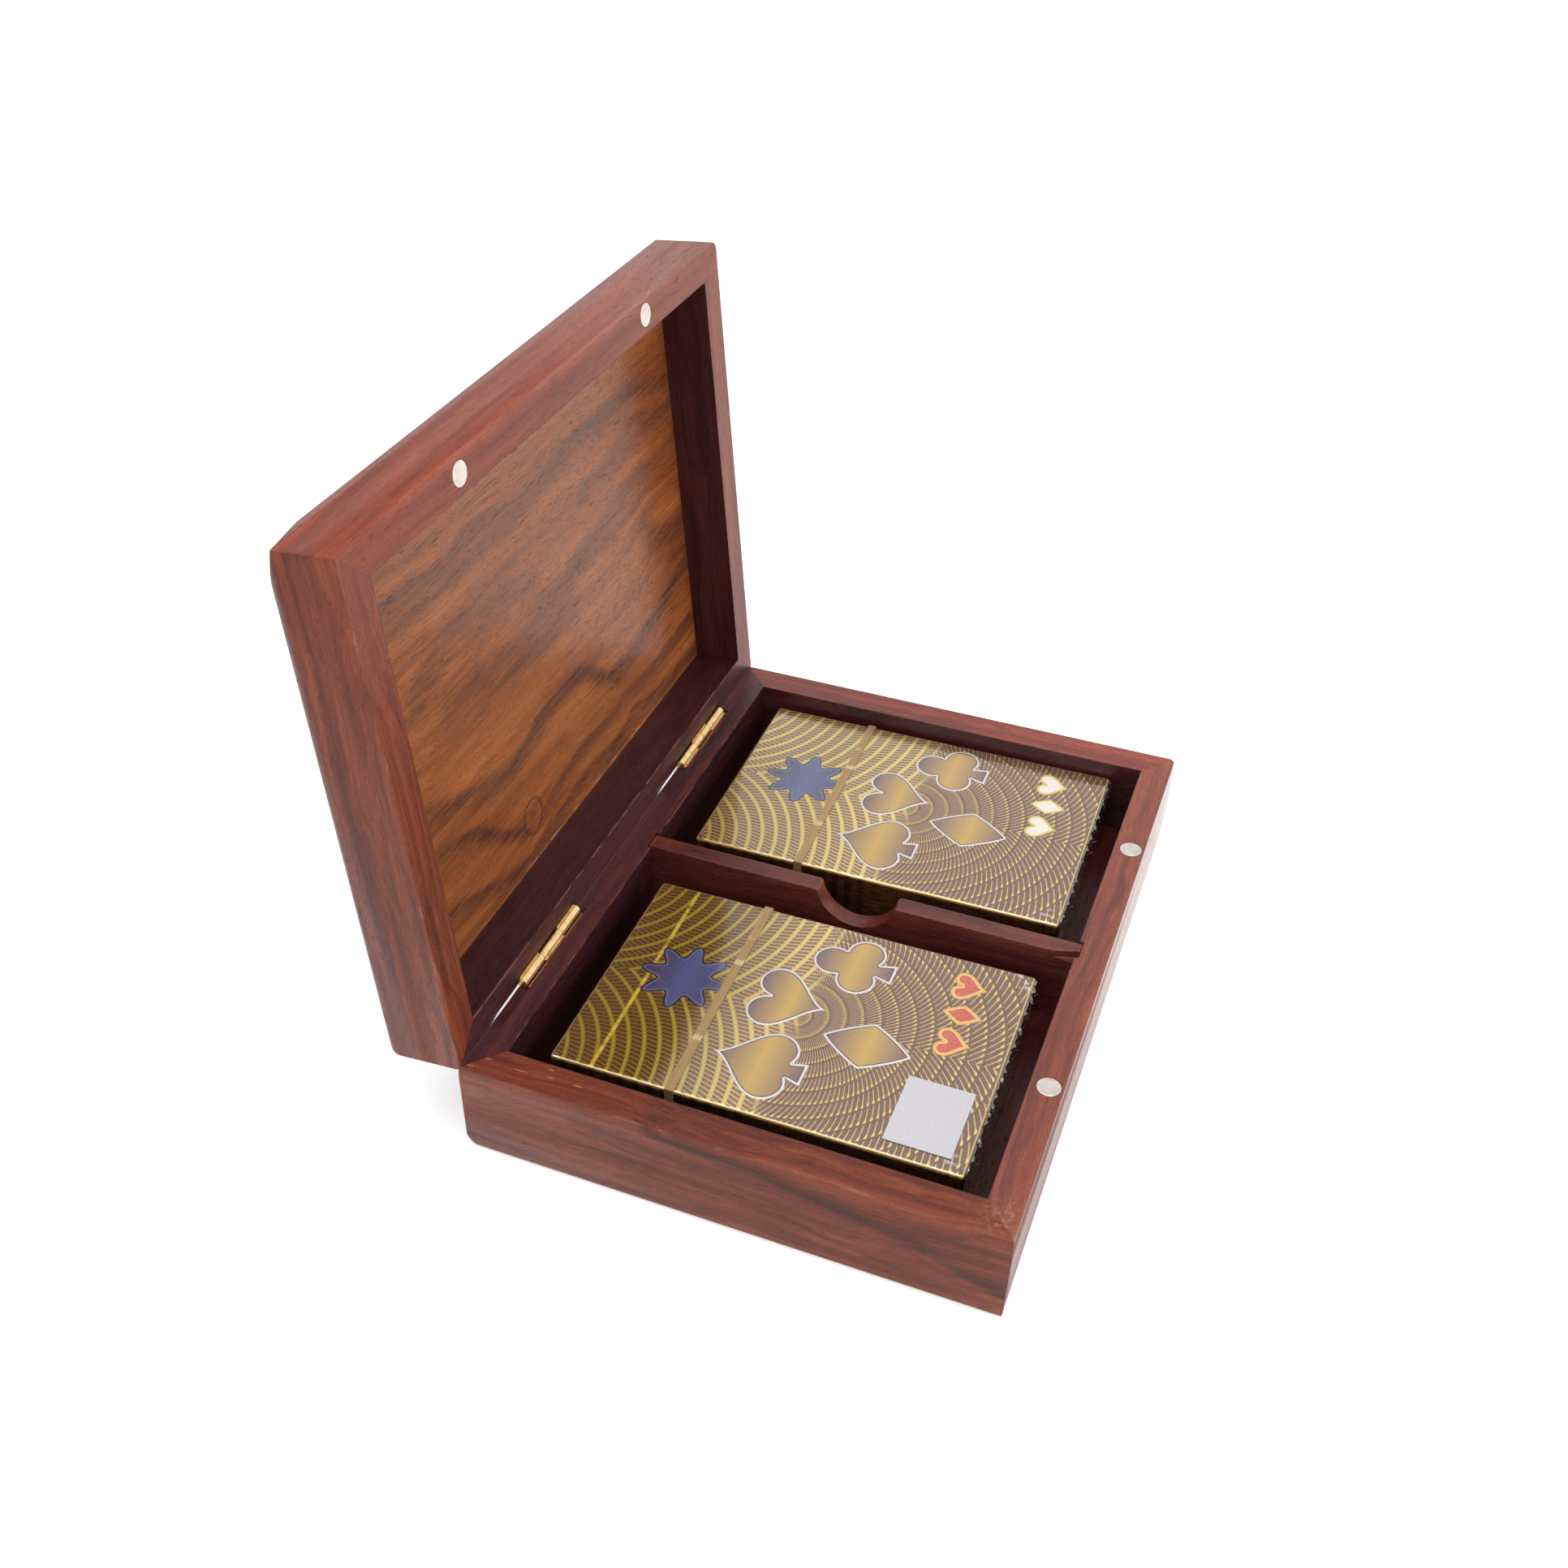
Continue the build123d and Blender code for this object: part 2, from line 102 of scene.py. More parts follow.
def turned(points: np.ndarray, degrees: float) -> np.ndarray:
    """Turn points about the origin: x cos - y sin, and x sin + y cos.

    Args:
        points: Any array whose last axis is (x, y).
        degrees: The turn, anticlockwise.

    Returns:
        The turned points.
    """
    angle = math.radians(degrees)
    spin = np.array([[math.cos(angle), -math.sin(angle)], [math.sin(angle), math.cos(angle)]])
    return points @ spin.T


class Grain(Enum):
    """Which way the grain of a board runs in the closed box."""

    ALONG = "x"
    ACROSS = "y"


class Suit(Enum):
    """Outlines that a printed motif can have."""

    HEART = "heart"
    SPADE = "spade"
    CLUB = "club"
    DIAMOND = "diamond"
    ROSETTE = "rosette"


class Wire:
    """A number that flows through a node tree, so that node sums read as arithmetic."""

    def __init__(self, bench: Bench, socket: Socket) -> None:
        """Keep the tree's bench and the socket that the number leaves by."""
        self.bench, self.socket = bench, socket

    def __add__(self, other: Value) -> Wire:
        """This number plus another."""
        return self.bench.math("ADD", self, other)

    def __sub__(self, other: Value) -> Wire:
        """This number less another."""
        return self.bench.math("SUBTRACT", self, other)

    def __rsub__(self, other: float) -> Wire:
        """A plain number less this one."""
        return self.bench.math("SUBTRACT", other, self)

    def __mul__(self, other: Value) -> Wire:
        """This number times another."""
        return self.bench.math("MULTIPLY", self, other)

    def __abs__(self) -> Wire:
        """This number without its sign."""
        return self.bench.math("ABSOLUTE", self)


Value = float | tuple | Socket | Wire


class Bench:
    """The node tree of one material or world, with short calls for the nodes that the finishes use."""

    def __init__(self, name: str, world: bool = False) -> None:
        """Start an empty tree with an output node.

        Args:
            name: The material's or the world's name.
            world: Whether it is a world.
        """
        self.owner = (bpy.data.worlds if world else bpy.data.materials).new(name)
        self.owner.use_nodes = True
        self.tree = self.owner.node_tree
        self.tree.nodes.clear()
        self.output = self.node("OutputWorld" if world else "OutputMaterial")

    def node(self, kind: str, **inputs: Value) -> bpy.types.Node:
        """Add a shader node.

        Args:
            kind: The node's type without its usual start.
            **inputs: Socket names with underscores for spaces, and their values or wires.

        Returns:
            The node.
        """
        made = self.tree.nodes.new("ShaderNode" + kind)
        for name, value in inputs.items():
            self.put(made.inputs[name.replace("_", " ")], value)
        return made

    def put(self, socket: Socket, value: Value) -> None:
        """Link a wire or a socket to an input, or set the input's own value.

        Args:
            socket: The input.
            value: What it gets.
        """
        if isinstance(value, Wire):
            value = value.socket
        if isinstance(value, bpy.types.NodeSocket):
            self.tree.links.new(value, socket)
        else:
            socket.default_value = value

    def coords(self, frame: Frame) -> Socket:
        """Object coordinates in millimetres, turned and shifted into a body's frame.

        Args:
            frame: The body's frame.

        Returns:
            The place as a vector.
        """
        place, turn = self.node("TexCoord").outputs["Object"], frame.rotation.to_euler("XYZ")
        mapping = self.node("Mapping", Vector=place, Scale=(1 / MM,) * 3, Rotation=turn, Location=frame.shift)
        return mapping.outputs["Vector"]

    def stretch(self, vector: Socket, scale: Triple, shift: Triple = (0.0, 0.0, 0.0)) -> Socket:
        """Scale a vector by axis and then shift it."""
        return self.node("Mapping", Vector=vector, Scale=scale, Location=shift).outputs["Vector"]

    def split(self, vector: Socket) -> list[Wire]:
        """The three parts of a vector."""
        return [Wire(self, part) for part in self.node("SeparateXYZ", Vector=vector).outputs]

    def join(self, x: Value, y: Value, z: Value) -> Socket:
        """A vector from three numbers."""
        return self.node("CombineXYZ", X=x, Y=y, Z=z).outputs[0]

    def math(self, operation: str, *values: Value, clamp: bool = False) -> Wire:
        """One Math node.

        Args:
            operation: The node's operation, such as "ADD".
            *values: One or two numbers or wires.
            clamp: Whether the result is held between 0 and 1.

        Returns:
            The result.
        """
        node = self.node("Math")
        node.operation, node.use_clamp = operation, clamp
        for socket, value in zip(node.inputs, values):
            self.put(socket, value)
        return Wire(self, node.outputs[0])

    def most(self, first: Value, *others: Value) -> Wire:
        """The largest of some numbers.

        Args:
            first: A number.
            *others: One or more numbers.

        Returns:
            The largest.
        """
        for other in others:
            first = self.math("MAXIMUM", first, other)
        return first

    def span(self, x: Wire, y: Wire) -> Wire:
        """The distance from (0, 0) to (x, y)."""
        return self.math("SQRT", x * x + y * y)

    def past(self, x: Wire, y: Wire, half: tuple[float, float]) -> Wire:
        """How far (x, y) lies past the sides of a rectangle with these half sizes."""
        return self.most(abs(x) - half[0], abs(y) - half[1])

    def fade(self, value: Value, low: Value, high: Value, start: float = 0.0, end: float = 1.0) -> Wire:
        """A smooth step.

        Args:
            value: The number to read.
            low: Where the step starts.
            high: Where it ends.
            start: The result at and before low.
            end: The result at and past high.

        Returns:
            The result.
        """
        node = self.node("MapRange", Value=value, From_Min=low, From_Max=high, To_Min=start, To_Max=end)
        node.interpolation_type = "SMOOTHSTEP"
        return Wire(self, node.outputs["Result"])

    def fall(self, value: Value, low: Value, high: Value, start: float = 1.0) -> Wire:
        """A smooth step down to 0."""
        return self.fade(value, low, high, start, 0.0)

    def noise(self, vector: Socket, scale: float, detail: float = 2.0, roughness: float = 0.5) -> Wire:
        """Fractal noise over a vector, about 0.5 on average."""
        node = self.node("TexNoise", Vector=vector, Scale=scale, Detail=detail, Roughness=roughness)
        return Wire(self, node.outputs["Fac"])

    def grain(self, vector: Socket, rate: Triple, detail: float = 2.0, roughness: float = 0.5,
              shift: Triple = (0.0, 0.0, 0.0)) -> Wire:
        """Fractal noise with its own rate along each axis, and its own shift."""
        return self.noise(self.stretch(vector, rate, shift), 1.0, detail, roughness)

    def ramp(self, fac: Value, *stops: tuple[float, Colour]) -> Socket:
        """Colours laid out along a number.

        Args:
            fac: The number to read.
            *stops: Places from 0 to 1 and the colours there.

        Returns:
            The colour.
        """
        node = self.node("ValToRGB", Fac=fac)
        elements = node.color_ramp.elements
        while len(elements) < len(stops):
            elements.new(0.5)
        for element, (place, colour) in zip(elements, stops):
            element.position, element.color = place, colour
        return node.outputs["Color"]

    def mix(self, fac: Value, first: Value, second: Value, blend: str = "MIX") -> Socket:
        """Mix two colours.

        Args:
            fac: The share of the second, from 0 to 1.
            first: The first colour.
            second: The second colour.
            blend: How they are mixed.

        Returns:
            The colour.
        """
        node = self.node("Mix")
        node.data_type, node.blend_type = "RGBA", blend
        for index, value in ((0, fac), (6, first), (7, second)):
            self.put(node.inputs[index], value)
        return node.outputs[2]

    def curve(self, value: Wire, points: tuple[tuple[float, float], ...]) -> Wire:
        """A smooth curve through a few points.

        Args:
            value: The number to read the curve at, from 0 to 1.
            points: Places from 0 to 1 and the results there.

        Returns:
            The curve's height.
        """
        node = self.node("FloatCurve", Value=value)
        line = node.mapping.curves[0]
        line.points[0].location, line.points[1].location = points[0], points[-1]
        for place in points[1:-1]:
            line.points.new(*place)
        node.mapping.update()
        return Wire(self, node.outputs["Value"])

    def attribute(self, name: str) -> Wire:
        """A number that the mesh carries.

        Args:
            name: The attribute's name.

        Returns:
            The number.
        """
        node = self.node("Attribute")
        node.attribute_name = name
        return Wire(self, node.outputs["Fac"])

    def seen(self) -> Wire:
        """1 for rays of the camera, of gloss and through clear pieces, and 0 for rays of light."""
        rays = self.node("LightPath").outputs
        return self.most(*(rays[f"Is {kind} Ray"] for kind in ("Camera", "Glossy", "Transmission")))

    def bump(self, height: Wire, distance: float, strength: float = 1.0) -> Socket:
        """A bumped normal from a height; distance is in millimetres."""
        return self.node("Bump", Height=height, Strength=strength, Distance=distance * MM).outputs["Normal"]

    def shader(self, **inputs: Value) -> bpy.types.Material:
        """End the tree with a Principled shader.

        Args:
            **inputs: Socket names with underscores for spaces, and their values or wires.

        Returns:
            The finished material.
        """
        shader = self.node("BsdfPrincipled", **inputs)
        self.put(self.output.inputs["Surface"], shader.outputs["BSDF"])
        return self.owner


@dataclass(frozen=True)
class Frame:
    """Where a body's own axes lie: closed-box millimetres from rest-pose object coordinates."""

    rotation: Matrix
    shift: Vector

    @staticmethod
    def closed() -> Frame:
        """The base's frame: closed-box axes are the object's axes."""
        return Frame(Matrix.Identity(3), Vector((0.0, 0.0, 0.0)))

    @staticmethod
    def lid() -> Frame:
        """The lid's frame: the open lid is turned back about the hinge axis."""
        turn = Matrix.Rotation(OPEN_ANGLE, 3, "X")
        return Frame(turn, HINGE_AXIS - turn @ HINGE_AXIS)

    @staticmethod
    def deck(centre: Vector, turn_degrees: float) -> Frame:
        """A deck's frame: its own centre at the origin, its length along Y."""
        turn = Matrix.Rotation(math.radians(-turn_degrees), 3, "Z")
        return Frame(turn, -(turn @ centre))


@dataclass(frozen=True)
class Streak:
    """A dark streak that wanders along a board, through points (along, across)."""

    path: tuple[tuple[float, float], ...]
    width: float
    strength: float
    halo: float = 2.5


@dataclass(frozen=True)
class Rosewood:
    """Oiled rosewood: growth layers, dark veins, long pores, fibre and a satin surface.

    A point is first pushed sideways by slow noise, so that the grain wanders; noise that is long
    along the grain and short across it then gives the tone, the bands, the fibre and the pores.
    """

    name: str
    pale: Colour
    middle: Colour
    dark: Colour
    vein: Colour
    grain: Grain = Grain.ALONG
    seed: Triple = (0.0, 0.0, 0.0)
    band_rate: float = 0.42
    wander: float = 7.0
    vein_share: float = 0.45
    figure: float = 1.0
    contrast: float = 0.20
    stipple: float = 0.13
    fleck: float = 0.30
    pore_depth: float = 0.42
    streak_dark: Colour = tint(60, 34, 27)
    gloss: float = 0.30
    shine: float = 0.42
    # How the inner faces are darkened: darker wood and painted shade.
    inner_shade_and_wood: Colour = (0.30, 0.32, 0.55, 1.0)
    streaks: tuple[Streak, ...] = ()
    knot: Triple | None = None
    sawn_notch: bool = False
    # Pale colour of worn wood; on the outer edges it is also a painted highlight.
    worn: Colour = tint(186, 132, 112)
    chipped_joint: Colour | None = None
    marks: tuple[Triple, ...] = ()
    scuff: Triple | None = None
    arris_highlight: Colour | None = None
    # Painted light and shade: multipliers for the faces and for the rim, brighter and pinker for sheen,
    # darker for shade.
    face_painted_light: Colour = (1.0, 1.0, 1.0, 1.0)
    rim_painted_light: Colour = (1.0, 1.0, 1.0, 1.0)

    def streak_mask(self, bench: Bench, along: Wire, across: Wire, wobble: Wire) -> Wire:
        """How dark the drawn streaks are at a point, from 0 to 1.

        Args:
            bench: The material's node tree.
            along: Place along the board in millimetres.
            across: Place across the board in millimetres.
            wobble: Slow noise that frays the streaks' edges.

        Returns:
            The darkness, from 0 to 1.
        """
        reach, total = 90.0, 0.0
        along_share = along * (0.5 / reach) + 0.5
        frayed = wobble * 3.2 + (across - 1.6)
        for streak in self.streaks:
            points = tuple((0.5 + u / (2 * reach), 0.5 + v / (2 * reach)) for u, v in streak.path)
            centre = bench.curve(along_share, points)
            centre = centre * (2 * reach) - reach
            away = frayed - centre
            core = bench.fade(away, -1.1 * streak.width, 0.0, 0.0, streak.strength)
            halo = bench.fade(away, 0.0, streak.width * streak.halo)
            first, last = streak.path[0][0], streak.path[-1][0]
            ends = bench.fade(along, first - 4, first + 4) * bench.fall(along, last - 4, last + 4)
            total = bench.most(total, core * (1.0 - halo) * ends)
        return total

    def knot_mask(self, bench: Bench, along: Wire, across: Wire, wobble: Wire) -> Wire:
        """How dark a small knot is at a point: a frayed ring about its middle, and a spot.

        Args:
            bench: The material's node tree.
            along: Place along the board in millimetres.
            across: Place across the board in millimetres.
            wobble: Slow noise that frays the ring.

        Returns:
            The darkness, from 0 to 1.
        """
        centre_along, centre_across, radius = self.knot
        away = wobble * 1.6 + (bench.span(along - centre_along, across - centre_across) - 0.8)
        ring = bench.fall(abs(away - radius), 0.1, 0.7, 0.55)
        spot = bench.fall(away, radius * 0.15, radius * 0.5, 0.35)
        return bench.most(ring, spot)

    def rim_marks(self, bench: Bench, x: Wire, y: Wire) -> Wire:
        """How pale the rim's scratches and the scuffed corner are at a point.

        A scratch is an ellipse, long along the wall; the scuff is a round patch broken up by noise.

        Args:
            bench: The material's node tree.
            x: Place along the box in millimetres.
            y: Place from front to back in millimetres.

        Returns:
            The share of worn wood, from 0 to 1.
        """
        total, half_width = 0.0, 0.22
        for mark_x, mark_y, half_length in self.marks:
            du, dv = (x - mark_x) * (1 / half_width), (y - mark_y) * (1 / half_length)
            total = bench.most(total, bench.fall(du * du + dv * dv, 0.2, 1.0, 0.62))
        if self.scuff:
            away = bench.span(x - self.scuff[0], y - self.scuff[1])
            patch = bench.fade(bench.noise(bench.join(x, y, 0.0), 0.9, 3.0, 0.7), 0.46, 0.64, 0.0, 0.42)
            total = bench.most(total, patch * bench.fall(away, 1.5, self.scuff[2]))
        return total

    def make(self, frame: Frame) -> bpy.types.Material:
        """Build the material for boards of one body.

        Args:
            frame: The body's frame.

        Returns:
            The material.
        """
        bench = Bench(self.name)
        box = bench.coords(frame)
        x, y, z = bench.split(box)
        along, across = (x, y) if self.grain is Grain.ALONG else (y, x)
        board = bench.join(along, across, z)
        seeded = bench.stretch(board, (1, 1, 1), self.seed)

        # Growth: slow noise bends the grain; tone and bands colour it; veins follow one level of the tone.
        slow = bench.grain(seeded, (0.016, 0.03, 0.03))
        ripple = bench.grain(seeded, (0.05, 0.16, 0.16), 3.0, 0.55)
        bend = slow * (2.0 * self.wander) + ripple * (0.5 * self.wander)
        bent = bench.stretch(bench.join(along, across + bend, z + bend), (1, 1, 1), self.seed)
        tone = bench.grain(bent, (0.007, 0.09, 0.09))
        bands = bench.grain(bent, (0.011, self.band_rate, self.band_rate), 4.0, 0.62)
        half = 0.13 / self.figure
        colour = bench.ramp(bands * 0.62 + tone * 0.38,
                            (0.5 - half, self.dark), (0.5, self.middle), (0.5 + half, self.pale))
        patch = bench.grain(seeded, (0.018, 0.04, 0.04), shift=(7, 3, 1))
        vein = bench.fall(abs(tone - 0.5), 0.0, 0.022, self.vein_share) * bench.fade(patch, 0.44, 0.60)
        colour = bench.mix(vein * bench.fade(ripple, 0.35, 0.62, 0.4, 1.0), colour, self.vein)
        fibre = bench.grain(bent, (0.045, 3.4, 3.4), 3.0, 0.7)
        streaky = bench.grain(bent, (0.022, 1.3, 1.3), 4.0, 0.66)
        if self.streaks:
            dark = self.streak_mask(bench, along, across if self.grain is Grain.ALONG else z, ripple)
            dark = bench.math("MULTIPLY", dark, bench.fade(streaky, 0.62, 0.38, 0.72, 1.12), clamp=True)
            colour = bench.mix(dark, colour, self.streak_dark)
        if self.knot:
            colour = bench.mix(self.knot_mask(bench, along, across, ripple), colour, self.vein)

        # Fine texture: fibres and grit shade it, dark pores and pale flecks lie along the grain.
        shade = bench.fade(streaky * 0.5 + fibre * 0.5, 0.36, 0.64, 1.0 - self.contrast,
                           1.0 + 0.85 * self.contrast)
        grit = bench.grain(board, (1.7, 3.0, 3.0), 2.0, 0.75)
        shade = shade * bench.fade(grit, 0.28, 0.72, 1.0 - self.stipple, 1.0 + self.stipple)
        colour = bench.mix(1.0, colour, bench.join(shade, shade, shade), "MULTIPLY")
        pore = bench.fade(bench.grain(bent, (0.20, 3.8, 3.8), 2.0, 0.6, (3, 5, 2)), 0.59, 0.68)
        colour = bench.mix(pore * self.pore_depth, colour, self.vein)
        flecks = bench.grain(seeded, (0.5, 4.0, 4.0), 2.0, 0.6, (8, 1, 9))
        colour = bench.mix(bench.fade(flecks, 0.63, 0.72, 0.0, self.fleck), colour, self.pale)

        # Painted light and shade: the faces and the rim are multiplied by their own painted light, brighter
        # and pinker for sheen, darker for shade. Handling: outer edges, scratches and a corner are rubbed
        # pale; along the outer edges this is partly wear and partly a painted highlight.
        off_rim = abs(z - RIM_Z)
        rim = bench.fall(off_rim, 0.25, 0.6)
        colour = bench.mix(1.0, colour, bench.mix(rim, self.face_painted_light, self.rim_painted_light), "MULTIPLY")
        edge_break_noise = bench.grain(seeded, (0.16, 0.9, 0.9), 3.0, 0.7, (4, 4, 6))
        # Outer edges: pale, partly from wear and partly a painted highlight where light catches the edge.
        wear_and_edge_highlight = bench.fade(bench.past(x, y, OUTER_HALF), -0.9, -0.1) * bench.fall(off_rim, 0.1, 0.9)
        wear_and_edge_highlight = wear_and_edge_highlight * bench.fade(edge_break_noise, 0.54, 0.68, 0.04, 0.34)
        if self.marks or self.scuff:
            wear_and_edge_highlight = bench.most(wear_and_edge_highlight, rim * self.rim_marks(bench, x, y))
        colour = bench.mix(wear_and_edge_highlight, colour, self.worn)

        # Places of their own: inner faces, multiplied darker as darker wood and painted shade, a painted
        # highlight along their top edge, the panel's joint and the sawn finger notch.
        beyond = bench.past(x, y, INNER_HALF)
        if self.inner_shade_and_wood[0] < 1:
            inner = bench.mix(1.0, colour, self.inner_shade_and_wood, "MULTIPLY")
            colour = bench.mix(bench.fall(beyond, 0.02, 0.3), colour, inner)
        # Painted highlight: a pale broken line along the inner top edge, where light catches the arris.
        if self.arris_highlight:
            arris = bench.fall(abs(beyond), 0.05, 0.22) * bench.fade(edge_break_noise, 0.45, 0.60, 0.08, 0.8)
            colour = bench.mix(arris * rim, colour, self.arris_highlight)
        if self.chipped_joint:
            chips = bench.grain(board, (0.25, 1.6, 1.0), 4.0, 0.75)
            joint = bench.fade(y, 50.7, 51.1) * bench.fall(y, 51.4, 51.9)
            mid_wall = bench.fade(abs(x - 12.0), 25.0, 50.0, 1.0, 0.2)
            chipped = bench.fade(chips, 0.47, 0.59, 0.0, 0.9) * mid_wall
            colour = bench.mix(joint * chipped, colour, self.chipped_joint)
        if self.sawn_notch:
            off_notch = abs(bench.span(y, z - NOTCH_CENTRE_Z) - NOTCH_RADIUS)
            saw_marks = bench.grain(box, (1.2, 0.3, 4.0), 3.0, 0.7)
            sawn = bench.mix(bench.fade(saw_marks, 0.38, 0.62), tint(112, 54, 46), tint(168, 104, 92))
            colour = bench.mix(bench.fall(off_notch, 0.05, 0.25), colour, sawn)

        rough = pore * 0.2 + bench.fade(streaky, 0.3, 0.7, self.gloss - 0.05, self.gloss + 0.07)
        return bench.shader(Base_Color=colour, Roughness=rough, Specular_IOR_Level=self.shine,
                            Normal=bench.bump(fibre * 0.5 - pore * 0.9, 0.05, 0.6))


@dataclass(frozen=True)
class Metal:
    """A turned or drawn metal with fine marks along one axis and slow tarnish."""

    name: str
    bright: Colour
    dull: Colour
    roughness: float
    marks: Triple
    leaf_light_shade: Colour | None = None

    def make(self, frame: Frame) -> bpy.types.Material:
        """Build the material.

        Args:
            frame: The body's frame.

        Returns:
            The material.
        """
        bench = Bench(self.name)
        place = bench.coords(frame)
        marks = bench.grain(place, self.marks, 3.0, 0.6)
        cloud = bench.noise(place, 0.6, 3.0, 0.6)
        colour = bench.mix(bench.fade(cloud, 0.42, 0.72), self.bright, self.dull)
        # Off the barrel the leaf takes its own colour, which is painted light and shade on that sliver.
        if self.leaf_light_shade:
            _, y, z = bench.split(place)
            away = bench.span(y - HINGE_AXIS.y, z - HINGE_AXIS.z) - BARREL_RADIUS
            colour = bench.mix(bench.fade(away, 0.02, 0.45), colour, self.leaf_light_shade)
        rough = marks * 0.16 + (self.roughness - 0.08)
        return bench.shader(Base_Color=colour, Metallic=1.0, Roughness=rough,
                            Normal=bench.bump(marks, 0.003, 0.25))


@dataclass(frozen=True)
class FoilBoard:
    """Printed foil board: rings of brighter gold with rows of slanted cells between them.

    The rings lie about the two hinge end corners on the hinge half, and about a point of the middle
    line on the front half, where they are chains of beads.
    """

    name: str
    # Where the painted highlight of the film's crease crosses the deck.
    crease_highlight_v: float | None = None
    ground_high: Colour = tint(66, 38, 24)
    ground_low: Colour = tint(110, 74, 64)
    line_high: Colour = tint(176, 140, 62)
    line_low: Colour = tint(238, 208, 140)
    ring_high: Colour = tint(198, 184, 64)
    ring_low: Colour = tint(236, 214, 116)
    side_gold: Colour = tint(228, 198, 128)
    strip_dark: Colour = tint(84, 54, 52)
    dash_pitch: float = 1.28
    ring_pitch: float = 3.3
    chain_pitch: float = 3.8
    # How strongly the painted reflection darkens the foil towards the hinge end.
    hinge_reflection_dimming: float = 1.0
    lattice_lean: float = 1.3
    bead_lean: float = 2.1
    bead_fan: float = 22.0
    corner: tuple[float, float] = (33.0, 62.0)
    seam: float = 3.0
    half_size: tuple[float, float] = (30.2, 44.7)
    face_z: float = 19.4

    def cells(self, bench: Bench, across: Wire, rise: Wire, pitch: float, lean: float,
              fan: float | None = None) -> tuple[Wire, Wire]:
        """Bands about a point, cut up by slanted dash lines.

        The share is the fractional part of the distance over the ring pitch. The dash number is the
        arc length along a band's middle over the dash pitch, or the angle times the fan, plus a lean
        times the share.

        Args:
            bench: The material's node tree.
            across: Distance across the deck from the bands' centre.
            rise: Distance along the deck from the bands' centre.
            pitch: Distance between rings.
            lean: How many dashes a dash line passes on its way across a band.
            fan: Dashes per radian, where the dashes spread out like a fan.

        Returns:
            The share of the way out across a band, and the distance from the nearest dash line in
            dash pitches.
        """
        number = bench.span(rise, across) * (1 / pitch)
        share = bench.math("FRACT", number)
        dashes = pitch / self.dash_pitch
        middle = bench.math("FLOOR", number) * dashes + 0.5 * dashes
        place = bench.math("ARCTAN2", across, rise) * (fan if fan else middle)
        dash = bench.math("FRACT", share * lean + place)
        return share, abs(dash - 0.5)

    def lattice(self, bench: Bench, u: Wire, v: Wire) -> tuple[Wire, Wire]:
        """Hinge half: rings about the two corners, and lines round dark blocks between them.

        A ring is where the share is near 0 or 1. A block is far from the rings and near the middle
        between two dash lines, and has a thin bright core.

        Args:
            bench: The material's node tree.
            u: Place across the deck in millimetres.
            v: Place along the deck in millimetres.

        Returns:
            The line mask and the ring mask.
        """
        share, off = self.cells(bench, self.corner[0] - abs(u), self.corner[1] - v, self.ring_pitch,
                                self.lattice_lean)
        inward = 0.5 - abs(share - 0.5)
        ring = bench.fall(off * 0.14 + inward, 0.07, 0.18)
        block = bench.fall(off, 0.24, 0.36) * bench.fade(inward, 0.13, 0.21)
        core = bench.fall(off, 0.04, 0.11, 0.5) * bench.fade(inward, 0.28, 0.34)
        return bench.math("ADD", 1.0 - block, core, clamp=True), ring

    def beads(self, bench: Bench, u: Wire, v: Wire) -> tuple[Wire, Wire, Wire]:
        """Front half: thin dashes between rings that are chains of beads.

        A dash widens where the share passes 0.7, so that the dashes' outer ends make the beads.

        Args:
            bench: The material's node tree.
            u: Place across the deck in millimetres.
            v: Place along the deck in millimetres.

        Returns:
            The dash mask, the bead mask and the mask of the dark strip inside each ring.
        """
        share, off = self.cells(bench, abs(u), v - 1.0, self.chain_pitch, self.bead_lean, self.bead_fan)
        half = bench.fade(share, 0.70, 0.90, 0.13, 0.28)
        dash = bench.fall(off, half * 0.5, half)
        dash = dash * bench.fade(share, 0.04, 0.20) * bench.fall(share, 0.93, 1.0)
        return dash, dash * bench.fade(share, 0.72, 0.86), bench.fall(share, 0.05, 0.35)

    def make(self, frame: Frame) -> bpy.types.Material:
        """Build the material.

        Args:
            frame: The body's frame.

        Returns:
            The material.
        """
        bench = Bench(self.name)
        place = bench.coords(frame)
        u, v, w = bench.split(place)
        upper_line, upper_ring = self.lattice(bench, u, v)
        lower_line, lower_ring, strip = self.beads(bench, u, v)
        upper = bench.fade(v, -self.seam, self.seam)
        lower = 1.0 - upper
        line = upper_line * upper + lower_line * lower
        ring = upper_ring * upper + lower_ring * lower
        # Painted reflection: towards the hinge end the foil's colours turn darker and bronzer, as it mirrors
        # the dark box there.
        tone = bench.fade(v, 4.0, 26.0, 0.0, self.hinge_reflection_dimming)
        speck = bench.noise(place, 2.6, 3.0, 0.6)
        gold = bench.mix(tone, self.line_low, self.line_high)
        ground = bench.mix(tone, self.ground_low, self.ground_high)
        ground = bench.mix(strip * (lower * 0.45), ground, self.strip_dark)
        ground = bench.mix(bench.fade(speck, 0.35, 0.7, 0.0, 0.16), ground, gold)
        colour = bench.mix(line * 0.78, ground, gold)
        colour = bench.mix(ring, colour, bench.mix(tone, self.ring_low, self.ring_high))
        if self.crease_highlight_v:
